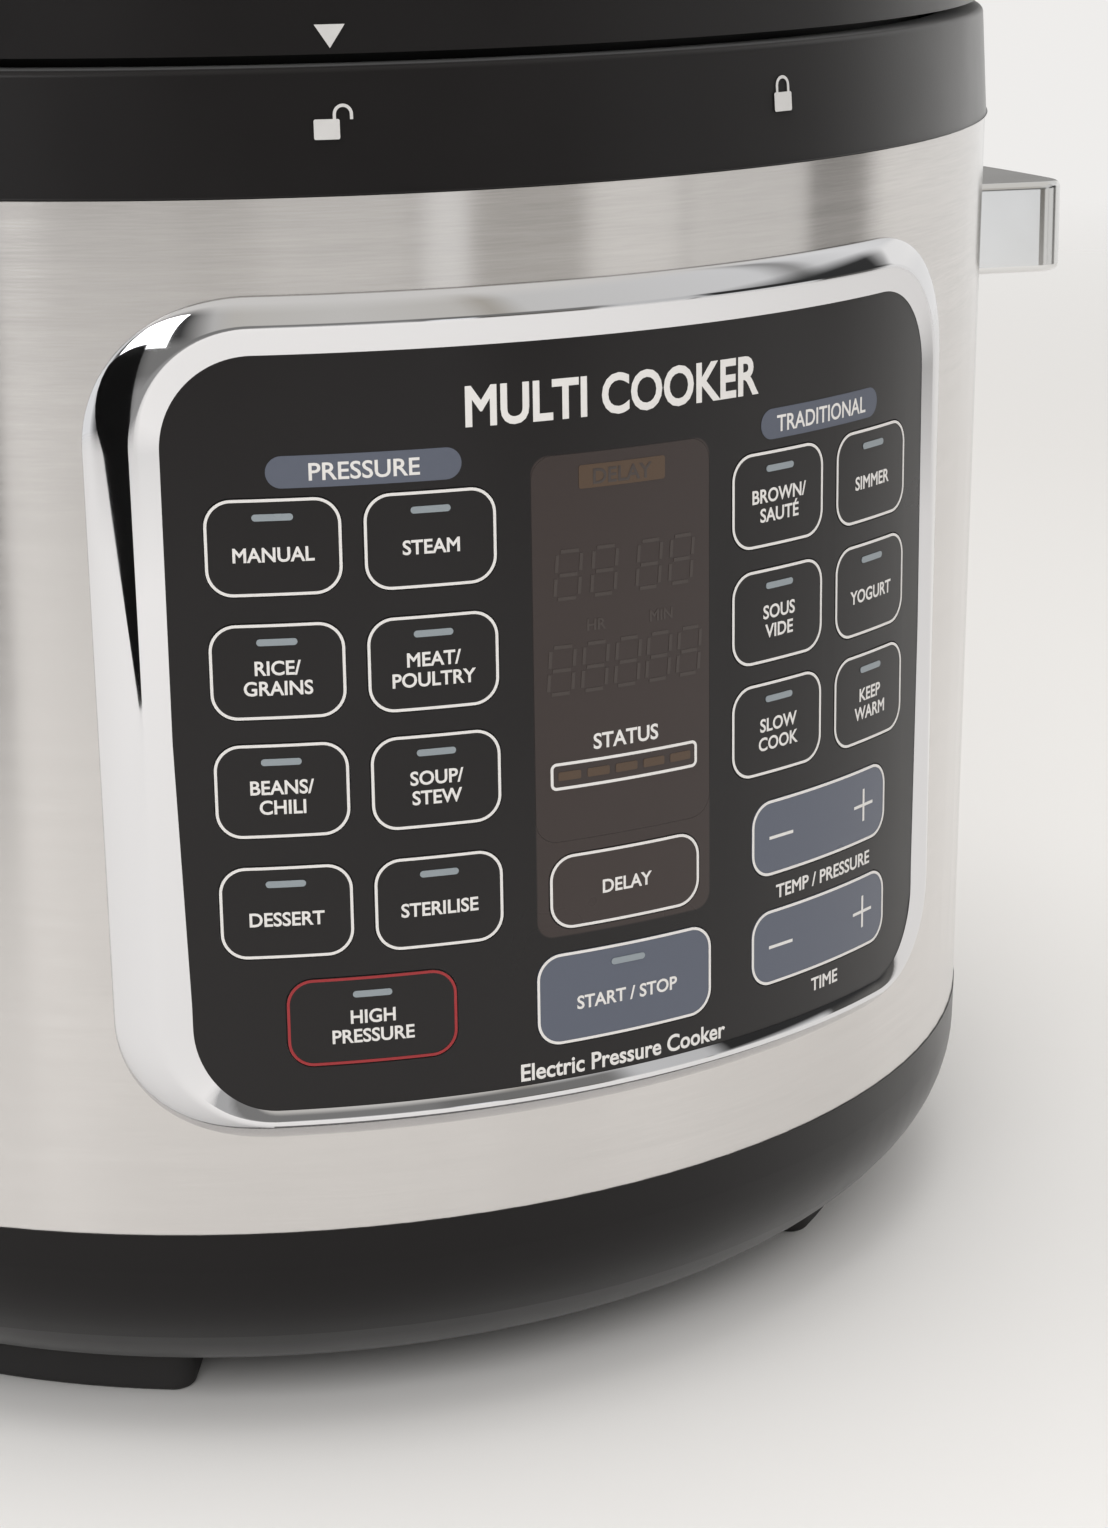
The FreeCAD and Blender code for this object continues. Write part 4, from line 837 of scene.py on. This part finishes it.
def stage():
    """A pale floor round the object that fades into the pale backdrop."""
    mesh = bpy.data.meshes.new("floor")
    reach = 3.0
    mesh.from_pydata([(-reach, -reach, 0), (reach, -reach, 0), (reach, reach, 0), (-reach, reach, 0)],
                     [], [(0, 1, 2, 3)])
    f = Finish("floor_paper", (0.815, 0.803, 0.791), roughness=0.6)
    f.bump(f.noise(400.0, 3.0), 0.03, 0.1 * MM)
    away = f.node("ShaderNodeVectorMath", operation="LENGTH")
    f.link(f.place(), away.inputs[0])
    solid = f.spread(away.outputs["Value"], 1.0, 0.0, *FLOOR_FADE)
    clear = f.node("ShaderNodeBsdfTransparent")
    mix = f.node("ShaderNodeMixShader")
    f.link(solid, mix.inputs["Fac"])
    f.link(clear.outputs[0], mix.inputs[1])
    f.link(f.shader.outputs[0], mix.inputs[2])
    f.link(mix.outputs[0], f.tree.nodes["Material Output"].inputs["Surface"])
    mesh.materials.append(f.material)
    floor = bpy.data.objects.new("floor", mesh)
    bpy.context.scene.collection.objects.link(floor)


def dark_flag():
    """A dark card out of view on the left, which only the chrome and steel reflect."""
    mesh = bpy.data.meshes.new("dark_flag")
    verts = [(-0.521, -0.349, 0.002), (-0.540, -0.290, 0.002), (-0.585, -0.080, 0.36), (-0.521, -0.349, 0.36)]
    mesh.from_pydata(verts, [], [(0, 1, 2, 3)])
    f = Finish("flag_cloth", (0.006, 0.006, 0.006), roughness=0.9, Specular_IOR_Level=0.1)
    f.bump(f.noise(300.0, 2.0), 0.1, 0.2 * MM)
    mesh.materials.append(f.material)
    card = bpy.data.objects.new("dark_flag", mesh)
    bpy.context.scene.collection.objects.link(card)
    card.visible_camera = card.visible_diffuse = card.visible_shadow = card.visible_transmission = False


def softbox(name, at, aim, size, power, mirrored=True, lights_up=True):
    """An area light. mirrored says whether metal shows it, lights_up whether it lights matt faces."""
    light = bpy.data.lights.new(name, "AREA")
    light.shape = "RECTANGLE"
    light.size, light.size_y = size
    light.energy = power
    holder = bpy.data.objects.new(name, light)
    bpy.context.scene.collection.objects.link(holder)
    holder.location = at
    holder.rotation_mode = "QUATERNION"
    holder.rotation_quaternion = (Vector(aim) - Vector(at)).to_track_quat("-Z", "Y")
    holder.visible_glossy = mirrored
    holder.visible_diffuse = lights_up


# What stands round the table, as (degrees from the front towards +X, brightness, warmth), at and below
# the height of the table, above it, and higher still.
LOW_ROOM = [
    (-180, 0.90, 0.0), (-86, 0.90, 0.0), (-79, 0.10, 0.1), (-66, 0.08, 0.1), (-62, 0.34, 0.3),
    (-36, 0.36, 0.3), (-32, 0.26, 0.5), (-24, 0.28, 0.5), (-21, 0.48, 0.2), (-3, 0.48, 0.2),
    (0, 0.26, 0.2), (2, 0.95, -0.3), (7, 0.95, -0.3), (7.6, 0.10, 1.8), (25, 0.14, 1.8),
    (25.8, 0.76, 0.3), (41.8, 0.74, 0.3), (42.3, 0.16, 0.3), (42.8, 0.16, 0.3), (43.3, 0.74, 0.3),
    (65.5, 0.78, 0.2), (67.5, 0.08, 0.8), (79, 0.16, 0.8), (84, 0.88, 0.3), (180, 0.88, 0.0),
]
HIGH_ROOM = [
    (-180, 0.35, 0.3), (-150, 0.90, 0.0), (-88, 0.90, 0.0), (-80, 0.04, 0.1), (-66, 0.04, 0.1),
    (-60, 0.22, 0.4), (-2, 0.24, 0.4), (1, 0.18, 0.5), (26, 0.22, 0.5), (30, 0.64, 0.1),
    (43, 0.60, 0.1), (46, 0.03, 0.0), (82, 0.04, 0.0), (88, 0.95, 0.3), (126, 0.95, 0.3),
    (136, 0.28, 0.5), (180, 0.30, 0.3),
]
UPPER_ROOM = [
    (-180, 0.60, 0.3), (-96, 0.80, 0.0), (-88, 0.05, 0.1), (-52, 0.06, 0.1), (-40, 0.56, 0.5),
    (-30, 0.58, 1.0), (-10, 0.64, 0.7), (8, 0.60, 0.9), (13, 0.44, 1.6), (18, 0.66, 0.4),
    (60, 0.74, 0.1), (67, 0.30, 0.3), (72, 0.74, 0.1), (84, 0.85, 0.1), (180, 0.60, 0.3),
]


CEILING = (0.74, 0.72, 0.69)
WARM_SHIFT = (0.02, -0.02, -0.09)   # what one unit of warmth adds to red, green and blue


def room_ramp(f, turn, stops):
    """One of those lists as a colour by direction. turn runs from 0 to 1 round the table."""
    ramp = f.node("ShaderNodeValToRGB")
    elements = ramp.color_ramp.elements
    while len(elements) > 1:
        elements.remove(elements[-1])
    for i, (degrees, level, warmth) in enumerate(stops):
        spot = (degrees + 180) / 360
        made = elements[0] if i == 0 else elements.new(spot)
        made.position = spot
        made.color = (*(level * (1 + share * warmth) for share in WARM_SHIFT), 1.0)
    f.link(turn, ramp.inputs["Fac"])
    return ramp.outputs["Color"]


def lights():
    """Pale room with upright bands for the metal to reflect, and three softboxes."""
    world = bpy.data.worlds.new("studio")
    bpy.context.scene.world = world
    world.use_nodes = True
    f = NodeTree(world.node_tree)
    way = f.node("ShaderNodeSeparateXYZ")
    f.link(f.node("ShaderNodeTexCoord").outputs["Generated"], way.inputs[0])
    turn = f.math("ARCTAN2", way.outputs["X"], f.math("MULTIPLY", way.outputs["Y"], -1.0))
    turn = f.spread(turn, 0.0, 1.0, -math.pi, math.pi)
    low, high, upper = (room_ramp(f, turn, stops) for stops in (LOW_ROOM, HIGH_ROOM, UPPER_ROOM))
    room = low
    for (start, stop), above in (((0.02, 0.10), high), ((0.28, 0.36), upper), ((0.58, 0.74), CEILING)):
        room = f.blend(f.spread(way.outputs["Z"], 0.0, 1.0, start, stop), room, above)
    seen = f.node("ShaderNodeLightPath").outputs["Is Camera Ray"]
    back = f.tree.nodes["Background"]
    f.link(f.blend(seen, room, BACKDROP), back.inputs["Color"])
    back.inputs["Strength"].default_value = 1.0
    softbox("key", (-0.95, -2.0, 1.6), (-0.05, -0.1, 0.05), (2.4, 1.6), 41.0, mirrored=False)
    softbox("glint", (-1.21, -0.57, 0.84), (-0.06, -0.12, 0.19), (0.62, 0.58), 4.6, lights_up=False)
    softbox("top", (-0.2, -0.1, 2.2), (0, 0, 0.1), (1.6, 1.6), 14.0, mirrored=False)


def camera():
    """Close three-quarter view of the front panel from slightly above."""
    data = bpy.data.cameras.new("camera")
    data.sensor_width = 36.0
    data.lens = 79.71
    data.clip_start, data.clip_end = 0.02, 50.0
    holder = bpy.data.objects.new("camera", data)
    bpy.context.scene.collection.objects.link(holder)
    heading, dip, roll = (math.radians(a) for a in (29.448, 16.129, -0.813))
    forward = Vector((math.sin(heading) * math.cos(dip), math.cos(heading) * math.cos(dip), -math.sin(dip)))
    level = Vector((math.cos(heading), -math.sin(heading), 0.0))
    upright = level.cross(forward)
    right = level * math.cos(roll) + upright * math.sin(roll)
    up = upright * math.cos(roll) - level * math.sin(roll)
    turned = Matrix((right, up, -forward)).transposed().to_4x4()
    turned.translation = Vector((-278.6, -614.8, 275.9)) * MM
    holder.matrix_world = turned
    bpy.context.scene.camera = holder


stage()
dark_flag()
lights()
camera()
bpy.context.scene.view_settings.view_transform = "Standard"
